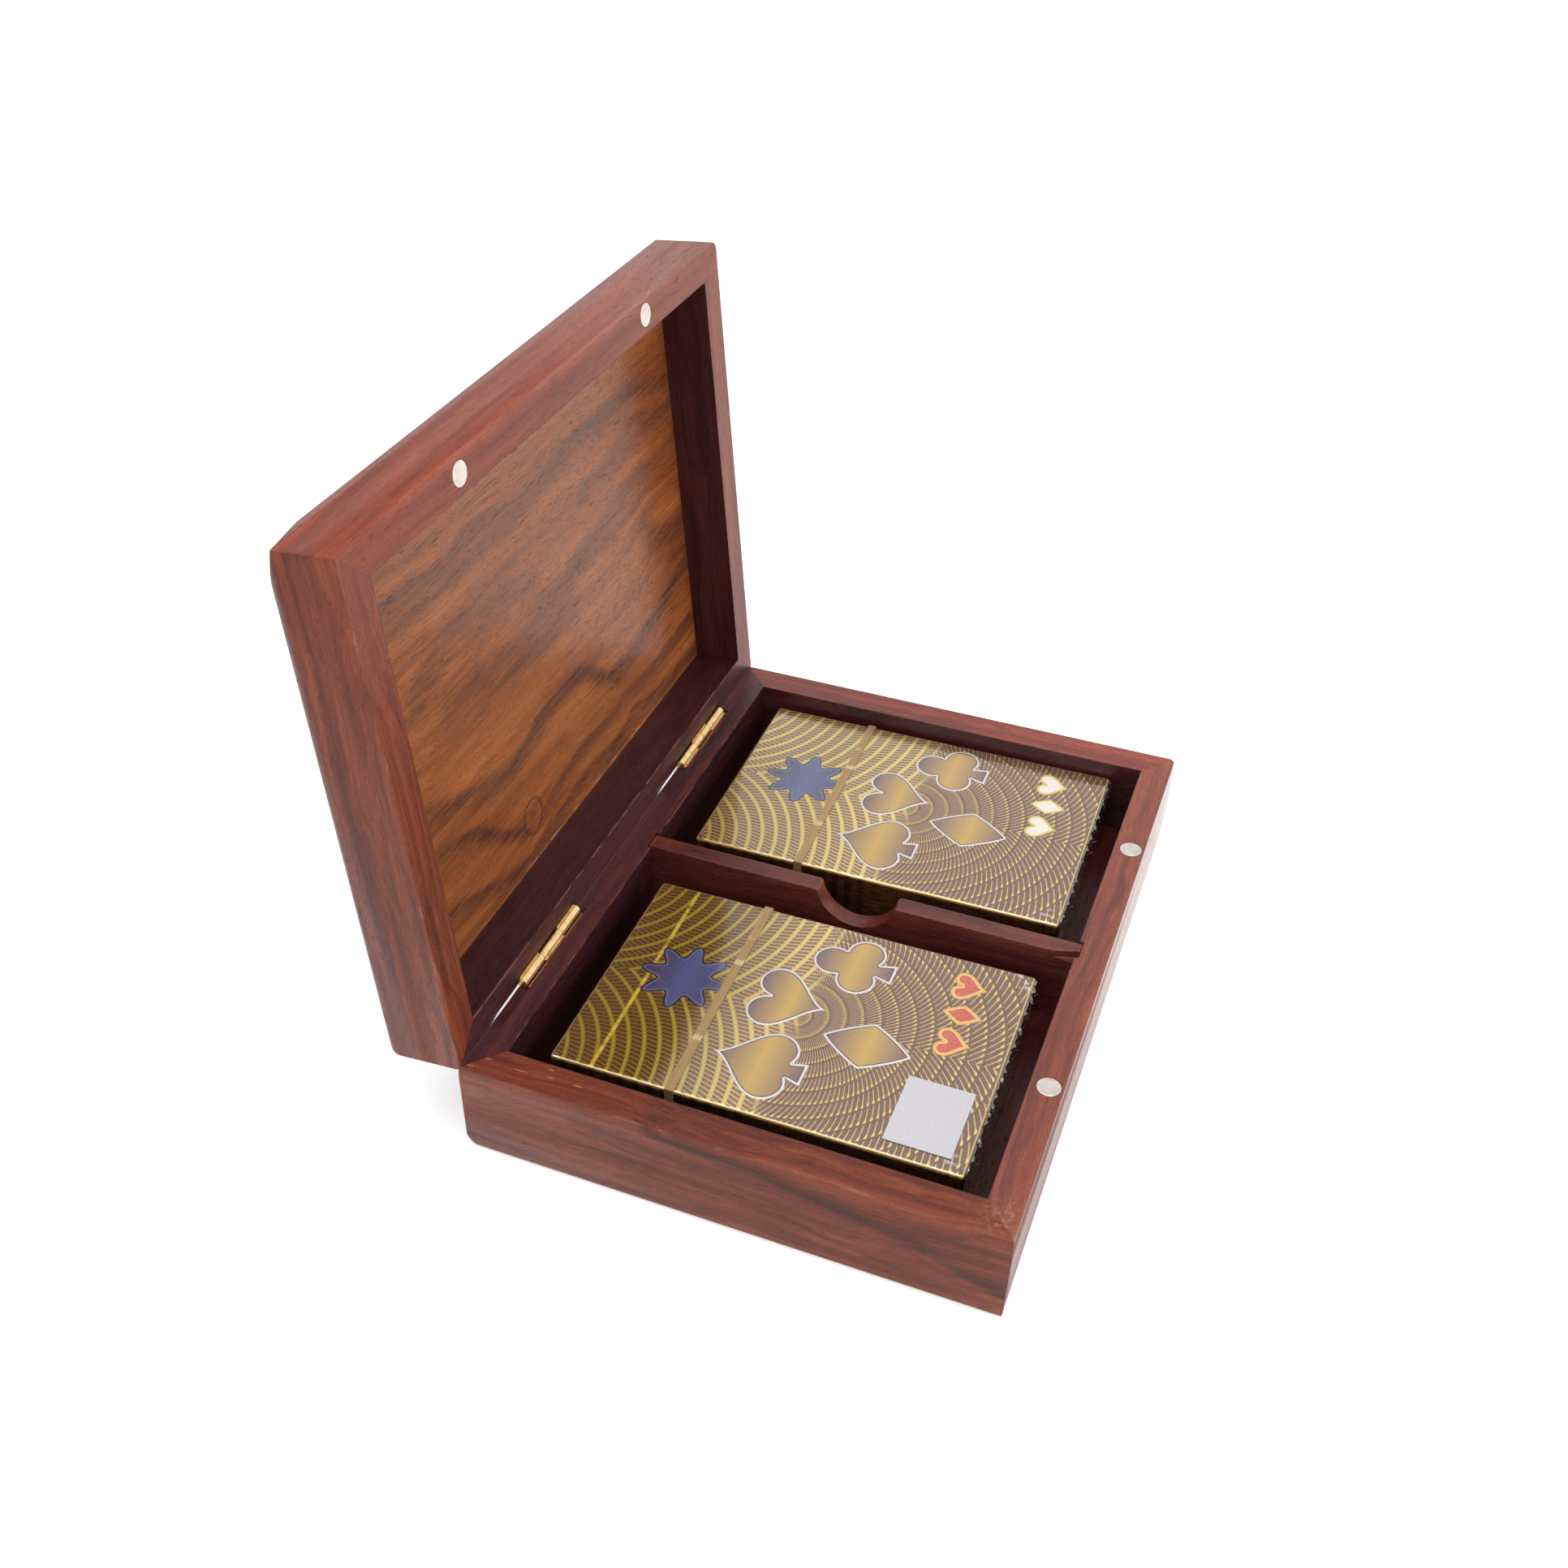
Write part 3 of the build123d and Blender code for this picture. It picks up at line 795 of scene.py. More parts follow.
            # Painted highlight: a bright broken line where the film is creased across the deck.
            glint = bench.grain(place, (0.5, 0.1, 0.1), 3.0, 0.7)
            crease_highlight = bench.fall(abs(v - self.crease_highlight_v), 0.25, 0.6) * bench.fade(glint, 0.36, 0.6, 0.3, 1.0)
            colour = bench.mix(crease_highlight, colour, tint(250, 228, 90))
        edge = bench.past(u, v, self.half_size)
        colour = bench.mix(bench.fade(edge, 0.0, 0.25), colour, self.side_gold)
        flank = bench.fade(w, self.face_z, self.face_z - 0.5)
        plain = bench.grain(place, (0.3, 0.3, 2.5), 3.0, 0.6)
        flank_colour = bench.mix(bench.fade(plain, 0.35, 0.65), tint(70, 44, 26), tint(124, 86, 44))
        colour = bench.mix(flank, colour, flank_colour)
        bright = bench.most(line, ring)
        rough = speck * 0.2 + 0.26
        return bench.shader(Base_Color=colour, Roughness=rough, Normal=bench.bump(bright, 0.02, 0.35),
                            Metallic=bench.fade(bright, 0.0, 1.0, 0.45, 0.8))


@dataclass(frozen=True)
class Ink:
    """Printed ink of a motif: an outer line, an inner line and a fill that shades along it."""

    name: str
    outer: Colour
    inner: Colour
    low: Colour
    middle: Colour
    high: Colour
    outer_width: float = 0.55
    inner_width: float = 0.25

    def make(self) -> bpy.types.Material:
        """Build the material from the motif's own edge and height numbers.

        Returns:
            The material.
        """
        bench = Bench(self.name)
        edge, height = bench.attribute("edge_mm"), bench.attribute("height_share")
        fill = bench.ramp(height, (0.0, self.low), (0.48, self.middle), (1.0, self.high))
        speck = bench.noise(bench.coords(Frame.closed()), 2.4, 3.0)
        fill = bench.mix(bench.fade(speck, 0.3, 0.7, 0.0, 0.14), fill, self.inner)
        total = self.outer_width + self.inner_width
        soft = 0.06
        colour = bench.mix(bench.fade(edge, total - soft, total + soft), self.inner, fill)
        outer = bench.fade(edge, self.outer_width - soft, self.outer_width + soft)
        colour = bench.mix(outer, self.outer, colour)
        rough = bench.fade(speck, 0.3, 0.7, 0.25, 0.38)
        return bench.shader(Base_Color=colour, Metallic=0.25, Roughness=rough)


@dataclass(frozen=True)
class ClearFilm:
    """Thin clear film: lets light through and mirrors a share that rises as its surface turns away.

    The share is 0.04 + 0.96 (1 - cosine) to the fifth power on each of the film's two faces.
    """

    name: str
    wave_height: float = 0.03
    share: float = 1.0

    def make(self, frame: Frame) -> bpy.types.Material:
        """Build the material.

        Args:
            frame: The body's frame.

        Returns:
            The material.
        """
        bench = Bench(self.name)
        place = bench.coords(frame)
        waves = bench.grain(place, (0.10, 0.05, 0.1), 3.0, 0.55)
        crinkle = bench.grain(place, (0.9, 0.35, 0.9), 3.0, 0.6)
        height = crinkle * 0.12 + waves
        normal = bench.bump(height, self.wave_height * 4, 0.6)
        facing = bench.node("LayerWeight", Blend=0.5, Normal=normal)
        rise = bench.math("POWER", facing.outputs["Facing"], 5.0)
        alpha = rise * (0.96 * self.share) + 0.04 * self.share
        u, v, _ = bench.split(place)
        corner = bench.fade(abs(u), 23.0, 30.0) * bench.fade(abs(v), 37.0, 45.0)
        alpha = corner * bench.fade(crinkle, 0.56, 0.66, 0.0, 0.55) + alpha
        return bench.shader(Base_Color=tint(250, 250, 252), Metallic=1.0, Alpha=alpha, Normal=normal,
                            Roughness=bench.fade(crinkle, 0.3, 0.7, 0.04, 0.10))


@dataclass(frozen=True)
class Tape:
    """Gold tear tape: half see-through, with faint lines along it and pale patches that are painted
    highlights.
    """

    name: str

    def make(self, frame: Frame) -> bpy.types.Material:
        """Build the material.

        Args:
            frame: The body's frame.

        Returns:
            The material.
        """
        bench = Bench(self.name)
        place = bench.coords(frame)
        lines = bench.grain(place, (0.05, 1.2, 1.2), 2.0)
        fold_glints = bench.grain(place, (0.16, 0.02, 0.02), 2.0, 0.7)
        colour = bench.mix(bench.fade(lines, 0.35, 0.65), tint(188, 156, 106), tint(194, 162, 112))
        # Painted highlights: pale patches where the tape's folds catch the light.
        colour = bench.mix(bench.fade(fold_glints, 0.60, 0.68), colour, tint(232, 212, 160))
        return bench.shader(Base_Color=colour, Metallic=0.3, Alpha=bench.fade(lines, 0.3, 0.7, 0.77, 0.81),
                            Roughness=bench.fade(lines, 0.3, 0.7, 0.24, 0.32))


@dataclass(frozen=True)
class Paper:
    """Uncoated paper or board with fibres, and a slight tone change."""

    name: str
    light: Colour
    shade: Colour
    roughness: float = 0.5

    def make(self, frame: Frame) -> bpy.types.Material:
        """Build the material.

        Args:
            frame: The body's frame.

        Returns:
            The material.
        """
        bench = Bench(self.name)
        place = bench.coords(frame)
        fibre = bench.grain(place, (2.0, 3.0, 12.0), 4.0, 0.6)
        colour = bench.mix(bench.fade(fibre, 0.3, 0.7), self.light, self.shade)
        rough = bench.fade(fibre, 0.3, 0.7, self.roughness, self.roughness + 0.1)
        return bench.shader(Base_Color=colour, Roughness=rough, Normal=bench.bump(fibre, 0.01, 0.4))


def dress(node: bpy.types.Object, material: bpy.types.Material, edge: float = 0.0) -> None:
    """Give a CAD node its finish and, if asked, softened edges.

    Args:
        node: The CAD node's object.
        material: The finish.
        edge: Width of the softened edges in millimetres; 0 leaves them sharp.
    """
    node.data.materials.clear()
    node.data.materials.append(material)
    if edge > 0:
        weld = node.modifiers.new("merge", "WELD")
        weld.merge_threshold = 2e-6
        flat = node.modifiers.new("flat_faces", "DECIMATE")
        flat.decimate_type = "DISSOLVE"
        flat.angle_limit = math.radians(0.2)
        bevel = node.modifiers.new("soft_edges", "BEVEL")
        bevel.width = edge * MM
        bevel.segments = 2
        bevel.limit_method = "ANGLE"
        bevel.angle_limit = math.radians(50)
        bevel.miter_outer = "MITER_ARC"
        bevel.harden_normals = False
    LOG.info("dressed %s in %s", node.name, material.name)


def grid_mesh(name: str, points: np.ndarray, numbers: dict[str, np.ndarray], wrap: bool) -> bpy.types.Object:
    """Make a mesh object from a grid of points.

    Row r and column c of the grid are joined to row r+1 and column c+1; with wrap, the last
    column is joined to the first.

    Args:
        name: The object's name.
        points: Rows by columns by 3, in metres.
        numbers: Float attributes, each rows by columns.
        wrap: Whether the columns close on themselves.

    Returns:
        The new object, at the origin.
    """
    rows, columns = points.shape[:2]
    index = np.arange(rows * columns).reshape(rows, columns)
    right = np.roll(index, -1, axis=1) if wrap else index[:, 1:]
    left = index if wrap else index[:, :-1]
    faces = np.stack([left[:-1], right[:-1], right[1:], left[1:]], axis=-1).reshape(-1, 4)
    mesh = bpy.data.meshes.new(name)
    mesh.from_pydata(points.reshape(-1, 3).tolist(), [], faces.tolist())
    for key, values in numbers.items():
        layer = mesh.attributes.new(key, "FLOAT", "POINT")
        layer.data.foreach_set("value", values.astype(np.float32).ravel())
    mesh.polygons.foreach_set("use_smooth", np.ones(len(faces), bool))
    made = bpy.data.objects.new(name, mesh)
    bpy.context.scene.collection.objects.link(made)
    return made


def suit_polygons(suit: Suit) -> list[np.ndarray]:
    """Closed outlines, about one unit tall, whose union is the suit's shape.

    Args:
        suit: Which shape.

    Returns:
        Polygons as arrays of (x, y), all of which hold the origin.
    """
    angle = np.linspace(0, 2 * np.pi, 96, endpoint=False)
    circle = np.stack([np.cos(angle), np.sin(angle)], axis=1)
    tall = sum(part * np.cos(turns * angle) for turns, part in ((1, 13), (2, -5), (3, -2), (4, -1)))
    lobed = np.stack([16 * np.sin(angle) ** 3, tall], axis=1) / 31.0 + np.array([0.0, 0.08])
    foot = np.array([[0.0, 0.08], [-0.05, -0.20], [-0.17, -0.52], [0.17, -0.52], [0.05, -0.20]])
    if suit is Suit.HEART:
        return [lobed]
    if suit is Suit.SPADE:
        return [lobed * np.array([1.0, -1.0]) + np.array([0.0, 0.09]), foot]
    if suit is Suit.CLUB:
        centres = np.array([[0.0, 0.25], [-0.235, -0.10], [0.235, -0.10]])
        return [0.245 * circle + centre for centre in centres] + [0.17 * circle, foot]
    if suit is Suit.DIAMOND:
        edge = np.sign(circle) * np.abs(circle) ** 1.75
        return [edge * np.array([0.37, 0.52])]
    radius = 0.40 + 0.10 * np.cos(8 * angle)
    return [circle * radius[:, None]]


def ray_reach(polygons: list[np.ndarray], count: int) -> np.ndarray:
    """Distance from the origin to the far side of the polygons' union, along even rays.

    A ray at angle t meets an edge from p to q where p + s (q - p) has no part across the ray,
    with s from 0 to 1; the reach is the largest distance of all such crossings.

    Args:
        polygons: Closed outlines.
        count: How many rays.

    Returns:
        The reach along each ray.
    """
    angle = np.linspace(0, 2 * np.pi, count, endpoint=False)
    ray = np.stack([np.cos(angle), np.sin(angle)], axis=1)
    reach = np.zeros(count)
    for polygon in polygons:
        start, step = polygon, np.roll(polygon, -1, axis=0) - polygon
        across_start = ray[:, :1] * start[None, :, 1] - ray[:, 1:] * start[None, :, 0]
        across_step = ray[:, :1] * step[None, :, 1] - ray[:, 1:] * step[None, :, 0]
        share = -across_start / np.where(np.abs(across_step) < 1e-12, 1e-12, across_step)
        along = ray[:, :1] * (start[None, :, 0] + share * step[None, :, 0]) \
            + ray[:, 1:] * (start[None, :, 1] + share * step[None, :, 1])
        valid = (share >= 0) & (share <= 1) & (along > 0)
        reach = np.maximum(reach, np.where(valid, along, 0).max(axis=1))
    return reach


@dataclass(frozen=True)
class Motif:
    """One printed motif on a deck's face."""

    suit: Suit
    centre: tuple[float, float]
    size: float
    ink: Ink
    thickness: float = 0.012
    lift: float = 0.004

    def build(self, name: str, centre: Vector, turn: float, top: float) -> bpy.types.Object:
        """Make the motif as a thin layer of ink with a closed edge.

        Each point lies on a ray from the middle: outward over the top face for the first rows,
        then down the edge and back under it.

        Args:
            name: The piece's name.
            centre: The deck's centre in millimetres.
            turn: The deck's turn in degrees.
            top: Height of the board's face in millimetres.

        Returns:
            The motif's object.
        """
        count, rows = 240, 26
        reach = ray_reach(suit_polygons(self.suit), count) * self.size
        angle = np.linspace(0, 2 * np.pi, count, endpoint=False)
        share = np.concatenate([np.linspace(0.0, 1.0, rows) ** 0.7, [1.0, 0.0]])
        height = np.concatenate([np.full(rows, self.thickness), [0.0, 0.0]])
        flat = (share[:, None] * reach)[..., None] * np.stack([np.cos(angle), np.sin(angle)], axis=1)
        outline = flat[rows - 1]
        step = np.roll(outline, -1, axis=0) - outline
        lead = flat[:, :, None, :] - outline
        share = np.clip((lead * step).sum(-1) / np.maximum((step ** 2).sum(-1), 1e-9), 0.0, 1.0)
        edge = np.sqrt(((lead - share[..., None] * step) ** 2).sum(-1).min(-1))
        tall = flat[..., 1]
        up = (tall - tall.min()) / (tall.max() - tall.min())
        placed = turned(flat + np.array(self.centre), turn) + np.array([centre.x, centre.y])
        level = np.broadcast_to((top + self.lift + height)[:, None], placed.shape[:2])
        points = np.concatenate([placed, level[..., None]], axis=-1) * MM
        piece = grid_mesh(name, points, {"edge_mm": edge, "height_share": up}, wrap=True)
        piece.data.materials.append(self.ink.make())
        return piece


FRAME_WOOD = (tint(140, 74, 52), tint(120, 58, 41), tint(92, 45, 36), tint(56, 31, 31))
BACK_WOOD = (tint(92, 45, 40), tint(74, 35, 34), tint(56, 27, 29), tint(36, 19, 22))
PANEL_WOOD = (tint(176, 108, 58), tint(156, 88, 44), tint(118, 66, 38), tint(56, 30, 24))
# Colour of the painted highlight on the back walls' inner top edge.
ARRIS_HIGHLIGHT = tint(150, 96, 88)
NEAR_RIM_MARKS = ((-78.0, 54.6, 1.3), (-78.5, 46.6, 1.8), (-75.9, 40.8, 1.0), (-78.0, 39.9, 1.0),
                  (-78.0, 33.7, 1.3), (-81.1, 57.0, 1.1))
WORN_CORNER = (-77.8, -55.5, 6.0)


def base_end_streaks() -> tuple[Streak, ...]:
    """Streaks of the base's near end.

    Returns:
        The streaks, as (place along the wall, height).
    """
    return (
        Streak(((-60, 7.0), (-49, 11.0), (-37, 14.8), (-27, 16.8), (-11, 19.6), (2, 20.6), (18, 22.5)),
               1.7, 0.72),
        Streak(((-40, 4.2), (-24, 7.4), (-8, 9.6), (16, 11.8), (38, 12.6), (56, 13.5)), 0.9, 0.42),
        Streak(((-26, 11.0), (-14, 12.6), (2, 14.8), (18, 17.0), (34, 19.5)), 0.7, 0.36),
        Streak(((-20, 2.2), (6, 4.6), (30, 6.0), (56, 6.4)), 0.8, 0.30),
    )


def lid_end_streaks() -> tuple[Streak, ...]:
    """Streaks of the lid's ends.

    Returns:
        The streaks, as (place along the wall, height in the closed box).
    """
    return (
        Streak(((-56, 35.0), (-30, 33.4), (-6, 31.6), (14, 32.6), (36, 34.4), (56, 34.0)), 1.6, 0.17),
        Streak(((-34, 28.4), (-12, 27.4), (10, 28.8), (30, 30.0), (50, 28.6)), 0.9, 0.36),
        Streak(((-50, 38.6), (-24, 37.6), (0, 37.8), (24, 38.8)), 0.8, 0.34),
    )


def panel_streaks() -> tuple[Streak, ...]:
    """Streaks of the lid panel's figure, drawn as (place along, height above the hinge axis).

    Returns:
        The streaks, with the heights turned into places across the closed lid.
    """
    drawn = (
        (((-60, 92.8), (-48, 92.4), (-34, 90.4), (-24, 92.8), (-8, 89.8), (6, 90.6), (24, 91.4), (42, 92.6),
          (54, 90.6), (64, 88.4), (76, 87.0)), 2.6, 0.60),
        (((-56, 71.5), (-48, 73.5), (-40, 76.0), (-28, 75.6), (-12, 73.4), (0, 70.0)), 3.9, 0.52),
        (((-46, 64.5), (-36, 62.5), (-22, 61.0), (-12, 58.5), (4, 60.0), (16, 59.0)), 5.1, 0.42),
        (((12, 64.5), (24, 67.4), (34, 68.0), (44, 69.8), (56, 69.6), (76, 70.4)), 3.0, 0.50),
        (((22, 77.4), (30, 80.2), (40, 81.8), (50, 82.6)), 2.1, 0.42),
        (((-60, 46.0), (-50, 42.6), (-40, 38.8), (-32, 36.8), (-22, 35.9), (-14, 37.8), (-4, 39.8), (8, 39.6),
          (14, 37.2), (20, 33.0), (26, 29.6), (34, 28.8), (46, 30.6), (58, 33.0), (76, 37.5)), 2.8, 0.78),
        (((-60, 34.8), (-50, 32.6), (-41, 28.4), (-34, 23.4), (-28, 19.4), (-22, 17.2)), 2.1, 0.78),
        (((-16, 16.4), (-6, 18.6), (6, 19.6), (18, 19.6), (40, 19.4), (56, 18.8), (76, 21.0)), 2.1, 0.66),
        (((-60, 19.4), (-48, 16.0), (-36, 11.8), (-24, 9.4), (-12, 10.4), (6, 12.0), (26, 11.0), (36, 13.2),
          (50, 10.6), (76, 10.2)), 2.3, 0.72),
        (((50, 55.0), (58, 52.0), (66, 48.5), (76, 47.0)), 5.8, 0.62),
        (((44, 88.0), (54, 85.0), (64, 81.0), (76, 79.0)), 4.0, 0.42),
    )
    return tuple(Streak(tuple((u, HINGE_AXIS.y - rise) for u, rise in path), width, strength)
                 for path, width, strength in drawn)


@dataclass
class Woodwork:
    """All wooden boards of the base and the lid."""

    nodes: dict[str, bpy.types.Object]
    edge: float = 0.22

    def dress_boards(self, frame: Frame, boards: dict[str, Rosewood]) -> None:
        """Finish some boards of one body; a panel keeps sharp edges.

        Args:
            frame: The body's frame.
            boards: The wood for each node; several nodes of one wood are parted by spaces.
        """
        for names, wood in boards.items():
            material = wood.make(frame)
            for name in names.split():
                dress(self.nodes[name], material, 0.0 if name.endswith("panel") else self.edge)

    def dress_base(self) -> None:
        """Finish the base's walls, bottom and divider."""
        self.dress_boards(Frame.closed(), {
            "base_front_wall": Rosewood(
                "base_front_wood", *FRAME_WOOD, seed=(3.1, 11.0, 5.0), gloss=0.13, shine=0.5,
                scuff=WORN_CORNER, rim_painted_light=(1.28, 1.16, 1.16, 1.0)),
            "base_back_wall": Rosewood(
                "base_back_wood", *BACK_WOOD, seed=(64.0, 7.0, 1.0), arris_highlight=ARRIS_HIGHLIGHT,
                inner_shade_and_wood=(0.5, 0.5, 0.6, 1.0)),
            "base_left_wall": Rosewood(
                "base_near_end_wood", *FRAME_WOOD, grain=Grain.ACROSS, seed=(41.0, 2.0, 9.0), shine=0.22,
                scuff=WORN_CORNER, face_painted_light=(0.98, 0.96, 0.90, 1.0), marks=NEAR_RIM_MARKS,
                streaks=base_end_streaks()),
            "base_right_wall": Rosewood(
                "base_far_end_wood", *FRAME_WOOD, grain=Grain.ACROSS, seed=(17.0, 44.0, 3.0),
                rim_painted_light=(1.42, 1.2, 1.34, 1.0)),
            "base_bottom_panel": Rosewood(
                "base_bottom_wood", *FRAME_WOOD, seed=(77.0, 31.0, 2.0), shine=0.2,
                inner_shade_and_wood=(0.36, 0.28, 0.40, 1.0)),
            "divider": Rosewood(
                "divider_wood", *FRAME_WOOD, grain=Grain.ACROSS, seed=(13.0, 54.0, 8.0),
                inner_shade_and_wood=(0.62, 0.55, 0.7, 1.0), sawn_notch=True),
        })

    def dress_lid(self) -> None:
        """Finish the lid's walls and top panel."""
        self.dress_boards(Frame.lid(), {
            "lid_front_wall": Rosewood(
                "lid_front_wood", *FRAME_WOOD, seed=(23.0, 61.0, 15.0), wander=5.0, shine=0.22,
                figure=0.7, contrast=0.15, vein_share=0.2, face_painted_light=(1.44, 1.36, 1.34, 1.0),
                rim_painted_light=(1.22, 1.02, 0.88, 1.0)),
            "lid_back_wall": Rosewood(
                "lid_back_wood", *BACK_WOOD, seed=(15.0, 33.0, 4.0), arris_highlight=ARRIS_HIGHLIGHT,
                inner_shade_and_wood=(0.6, 0.6, 0.7, 1.0)),
            "lid_left_wall lid_right_wall": Rosewood(
                "lid_end_wood", *FRAME_WOOD, grain=Grain.ACROSS, seed=(8.0, 72.0, 29.0), shine=0.22,
                face_painted_light=(1.06, 1.04, 1.0, 1.0), rim_painted_light=(1.02, 0.92, 0.86, 1.0), streaks=lid_end_streaks()),
            "lid_top_panel": Rosewood(
                "lid_panel_wood", *PANEL_WOOD, seed=(50.0, 18.0, 33.0), band_rate=0.22, vein_share=0.0,
                figure=0.8, shine=0.34, contrast=0.24, stipple=0.2, fleck=0.5, pore_depth=0.6,
                inner_shade_and_wood=(1.0, 1.0, 1.0, 1.0), face_painted_light=(0.94, 0.88, 0.84, 1.0), streaks=panel_streaks(),
                streak_dark=tint(80, 46, 40), knot=(-20.0, 40.3, 4.2), chipped_joint=tint(198, 142, 102)),
        })


@dataclass
class Fittings:
    """Hinges and magnets."""

    nodes: dict[str, bpy.types.Object]

    def dress_all(self) -> None:
        """Finish both hinges and all four magnets."""
        # Painted light and shade: the base leaf's sliver is a pale painted highlight, the lid leaf's is
        # painted shade.
        leaf_light_shade = {"base": tint(214, 160, 122), "lid": tint(150, 98, 54)}
        steel = Metal("pin_metal", tint(205, 170, 110), tint(150, 116, 66), 0.3, (4.0, 4.0, 4.0))
        nickel = Metal("nickel_plate", tint(216, 207, 198), tint(198, 189, 180), 0.40, (0.9, 0.9, 0.9))
        closed, lid = Frame.closed(), Frame.lid()
        for side in ("left", "right"):
            for part, frame in (("base", closed), ("lid", lid)):
                brass = Metal(f"{part}_leaf_brass_painted_light", tint(246, 214, 158), tint(222, 176, 112), 0.26,
                              (0.10, 0.8, 0.8), leaf_light_shade[part])
                dress(self.nodes[f"hinge_{side}_{part}_leaf"], brass.make(frame))
                dress(self.nodes[f"{part}_magnet_{side}"], nickel.make(frame), 0.12)
            dress(self.nodes[f"hinge_{side}_pin"], steel.make(closed))


@dataclass(frozen=True)
class FilmSeal:
    """The crinkled seal of the film along a deck's front top edge."""

    half_width: float = 29.6
    start: float = -45.3
    height: float = 0.34
    reach: float = 0.95
    seed: int = 5

    def build(self, name: str, centre: Vector, turn: float, top: float) -> bpy.types.Object:
        """Make the seal as a thin closed ribbon.

        Rows run along the edge. Columns run from the edge outward over the ribbon's upper side and
        back under it; the way out bows up by a sine and droops by a square. Bow and reach change
        along the row with sums of sines that have random phases.

        Args:
            name: The piece's name.
            centre: The deck's centre in millimetres.
            turn: The deck's turn in degrees.
            top: Height of the film's face in millimetres.

        Returns:
            The seal's object.
        """
        random = np.random.default_rng(self.seed)
        rows, half = 420, 9
        u = np.linspace(-self.half_width, self.half_width, rows)[:, None]
        waves = random.uniform(0.4, 2.9, 7)
        phases = random.uniform(0, 2 * np.pi, (2, 7))
        swell, crimp = (np.sin(u * waves + phase).mean(axis=1, keepdims=True) for phase in phases)
        out = np.concatenate([np.linspace(0, 1, half), np.linspace(1, 0, half)])
        skin = np.concatenate([np.zeros(half), np.full(half, -0.03)])
        reach = self.reach * (1 + 1.1 * swell)
        bow = self.height * (0.4 + 1.6 * crimp)
        v = self.start - reach * out - 0.10 * np.sin(7 * out + 9 * swell)
        w = top - 0.25 + bow * np.sin(np.pi * out) - 0.9 * out ** 2 + skin
        flat = turned(np.stack([np.broadcast_to(u, v.shape), v], axis=-1), turn)
        flat = flat + np.array([centre.x, centre.y])
        piece = grid_mesh(name, np.concatenate([flat, w[..., None]], axis=-1) * MM, {}, wrap=True)
        film = ClearFilm(name + "_film", wave_height=0.06, share=2.2)
        piece.data.materials.append(film.make(Frame.deck(centre, turn)))
        return piece


@dataclass
class Deck:
    """One wrapped deck: case, cards, film, tear tape, label, printed motifs and film seal."""

    side: str
    turn: float
    board: FoilBoard
    motifs: tuple[Motif, ...]
    nodes: dict[str, bpy.types.Object]

    def centre(self) -> Vector:
        """The deck's centre in millimetres, with height 0."""
        low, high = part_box(f"wrap_{self.side}")
        return Vector(((low.x + high.x) / 2, (low.y + high.y) / 2, 0.0)) / MM

    def dress_nodes(self) -> None:
        """Finish the deck's CAD nodes."""
        frame = Frame.deck(self.centre(), self.turn)
        finishes = {
            "tuck_case": self.board,
            "wrap": ClearFilm(f"clear_film_{self.side}"),
            "tear_strip": Tape(f"tear_tape_{self.side}"),
            "cards": Paper(f"card_stock_{self.side}", tint(240, 238, 232), tint(226, 222, 214)),
            "sticker": Paper("label_paper", tint(213, 211, 216), tint(202, 201, 207), 0.35),
        }
        for part, finish in finishes.items():
            if part != "sticker" or self.side == "left":
                dress(self.nodes[f"{part}_{self.side}"], finish.make(frame))

    def print_motifs(self) -> None:
        """Lay the printed motifs on the case's face, under the film."""
        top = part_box(f"tuck_case_{self.side}")[1].z / MM
        for number, motif in enumerate(self.motifs):
            name = f"print_{motif.suit.value}_{self.side}_{number}"
            piece = motif.build(name, self.centre(), self.turn, top)
            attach(piece, f"deck_{self.side}")
            LOG.info("printed %s", piece.name)

    def add_seal(self) -> None:
        """Add the crinkled film seal along the front edge."""
        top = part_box(f"wrap_{self.side}")[1].z / MM
        name = f"film_seal_{self.side}"
        piece = FilmSeal(seed=5 if self.side == "left" else 8).build(name, self.centre(), self.turn, top)
        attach(piece, f"deck_{self.side}")
        LOG.info("sealed %s", piece.name)


def deck_motifs(small: Ink) -> tuple[Motif, ...]:
    """The motifs of one deck.

    Args:
        small: The ink of the row of small ones.

    Returns:
        The motifs.
    """
    big = Ink("big_suit_ink", tint(232, 226, 226), tint(64, 44, 60), tint(118, 84, 96), tint(214, 176, 84),
              tint(104, 78, 98))
    blue = Ink("rosette_ink", tint(50, 38, 64), tint(118, 126, 166), tint(48, 46, 80), tint(88, 94, 144),
               tint(56, 40, 56), 0.5, 0.3)
    return (
        Motif(Suit.ROSETTE, (2.0, 28.0), 21.0, blue),
        Motif(Suit.SPADE, (-16.5, 3.0), 19.0, big),
        Motif(Suit.HEART, (3.5, 3.5), 18.0, big),
        Motif(Suit.CLUB, (19.5, -6.0), 18.5, big),
        Motif(Suit.DIAMOND, (-3.5, -16.5), 19.0, big),
        Motif(Suit.HEART, (4.0, -33.5), 8.5, small),
        Motif(Suit.DIAMOND, (13.0, -33.0), 8.5, small),
        Motif(Suit.HEART, (22.0, -32.5), 8.5, small),
    )


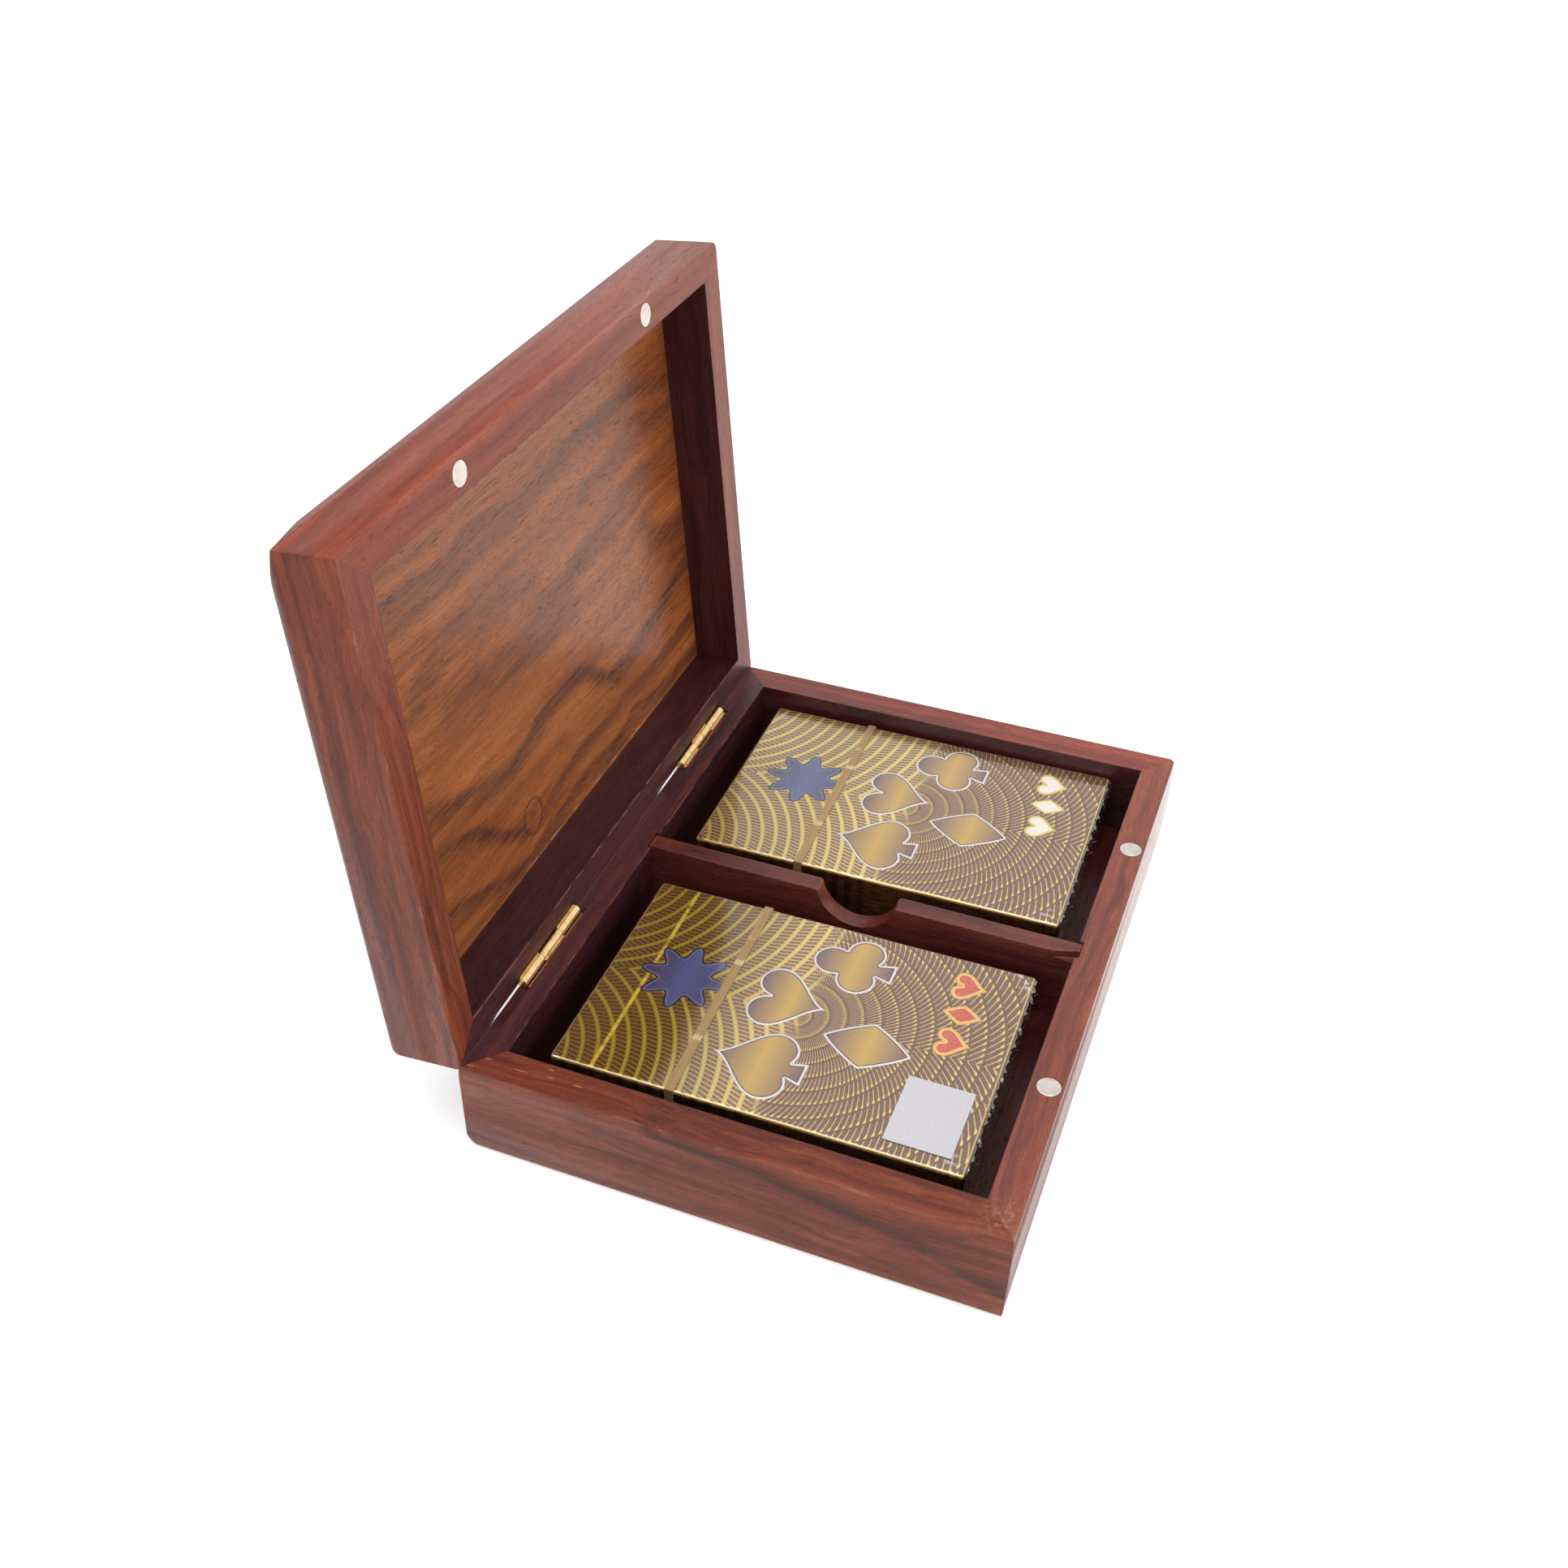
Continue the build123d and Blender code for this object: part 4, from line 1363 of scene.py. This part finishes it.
@dataclass
class Studio:
    """Floor, world, lamps and camera."""

    eye_m: tuple[float, float, float] = (-0.285196, -0.083413, 0.277919)
    right: tuple[float, float, float] = (0.37851, -0.92559, -0.00197)
    down: tuple[float, float, float] = (-0.57634, -0.23402, -0.78299)
    ahead: tuple[float, float, float] = (0.72427, 0.29751, -0.62203)
    lens: float = 38.388
    shift: tuple[float, float] = (0.03993, 0.03096)

    def place_camera(self) -> None:
        """Put the camera where the photograph was taken."""
        data = bpy.data.cameras.new("photo_camera")
        data.lens, data.sensor_width = self.lens, 36.0
        data.shift_x, data.shift_y = self.shift
        data.clip_start = 0.01
        camera = bpy.data.objects.new("photo_camera", data)
        turn = Matrix((self.right, -Vector(self.down), -Vector(self.ahead))).transposed()
        camera.matrix_world = Matrix.Translation(self.eye_m) @ turn.to_4x4()
        bpy.context.scene.collection.objects.link(camera)
        bpy.context.scene.camera = camera

    def lay_floor(self) -> None:
        """A wide pale floor that keeps the object's shadow."""
        across = np.linspace(-3.0, 3.0, 25)
        x, y = np.meshgrid(across, across)
        floor = grid_mesh("floor", np.stack([x, y, np.full_like(x, -0.0002)], axis=-1), {}, wrap=False)
        bench = Bench("pale_floor")
        speck = bench.noise(bench.coords(Frame.closed()), 0.02, 2.0)
        colour = bench.mix(bench.fade(speck, 0.3, 0.7), tint(238, 238, 238), tint(241, 241, 241))
        floor.data.materials.append(bench.shader(
            Base_Color=colour, Roughness=0.9, Specular_IOR_Level=0.0, Emission_Color=(1, 1, 1, 1),
            Emission_Strength=bench.seen() * 0.50))

    def light_world(self) -> None:
        """A white room: full white where it is seen or mirrored, softer where it lights."""
        bench = Bench("white_room", world=True)
        room = bench.node("Background", Color=(1, 1, 1, 1), Strength=bench.seen() * 0.45 + 0.55)
        bench.put(bench.output.inputs["Surface"], room.outputs[0])
        bpy.context.scene.world = bench.owner

    def hang_lamp(self, name: str, place: tuple, aim: tuple, size: float, power: float) -> None:
        """Hang one square soft lamp.

        Args:
            name: The lamp's name.
            place: Its place in metres.
            aim: The point it faces, in metres.
            size: Its side in metres.
            power: Its power in watts.
        """
        data = bpy.data.lights.new(name, "AREA")
        data.shape, data.size, data.energy = "SQUARE", size, power
        lamp = bpy.data.objects.new(name, data)
        lamp.location = place
        lamp.rotation_euler = (Vector(aim) - Vector(place)).to_track_quat("-Z", "Y").to_euler()
        bpy.context.scene.collection.objects.link(lamp)

    def set_up(self) -> None:
        """Make the whole studio."""
        self.place_camera()
        self.lay_floor()
        self.light_world()
        self.hang_lamp("top_lamp", (-0.2, -0.1, 1.3), (0.0, 0.0, 0.02), 1.0, 8.0)
        self.hang_lamp("left_lamp", (-1.2, 0.3, 0.7), (0.0, 0.0, 0.05), 0.9, 3.5)
        self.hang_lamp("front_lamp", (0.1, -1.3, 0.55), (0.0, 0.0, 0.06), 0.9, 7.0)
        bpy.context.scene.view_settings.view_transform = "Standard"


def main() -> None:
    """Load the frame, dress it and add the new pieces."""
    logging.basicConfig(level=logging.INFO, format="%(name)s: %(message)s")
    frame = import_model()
    nodes = frame["nodes"]
    Studio().set_up()
    woodwork = Woodwork(nodes)
    woodwork.dress_base()
    woodwork.dress_lid()
    Fittings(nodes).dress_all()
    red = Ink("red_suit_ink", tint(236, 184, 88), tint(250, 226, 150), tint(196, 64, 50), tint(206, 74, 56),
              tint(212, 84, 62), 0.6, 0.2)
    cream = Ink("cream_suit_ink", tint(226, 196, 110), tint(250, 240, 190), tint(236, 232, 226),
                tint(244, 240, 232), tint(238, 234, 228), 0.6, 0.2)
    near_board = FoilBoard("foil_board_left", crease_highlight_v=35.9)
    far_board = FoilBoard("foil_board_right", hinge_reflection_dimming=0.3)
    for side, turn, small, board in (("left", 0.57, red, near_board), ("right", 0.88, cream, far_board)):
        deck = Deck(side, turn, board, deck_motifs(small), nodes)
        deck.dress_nodes()
        deck.print_motifs()
        deck.add_seal()


if __name__ == "__main__":
    main()
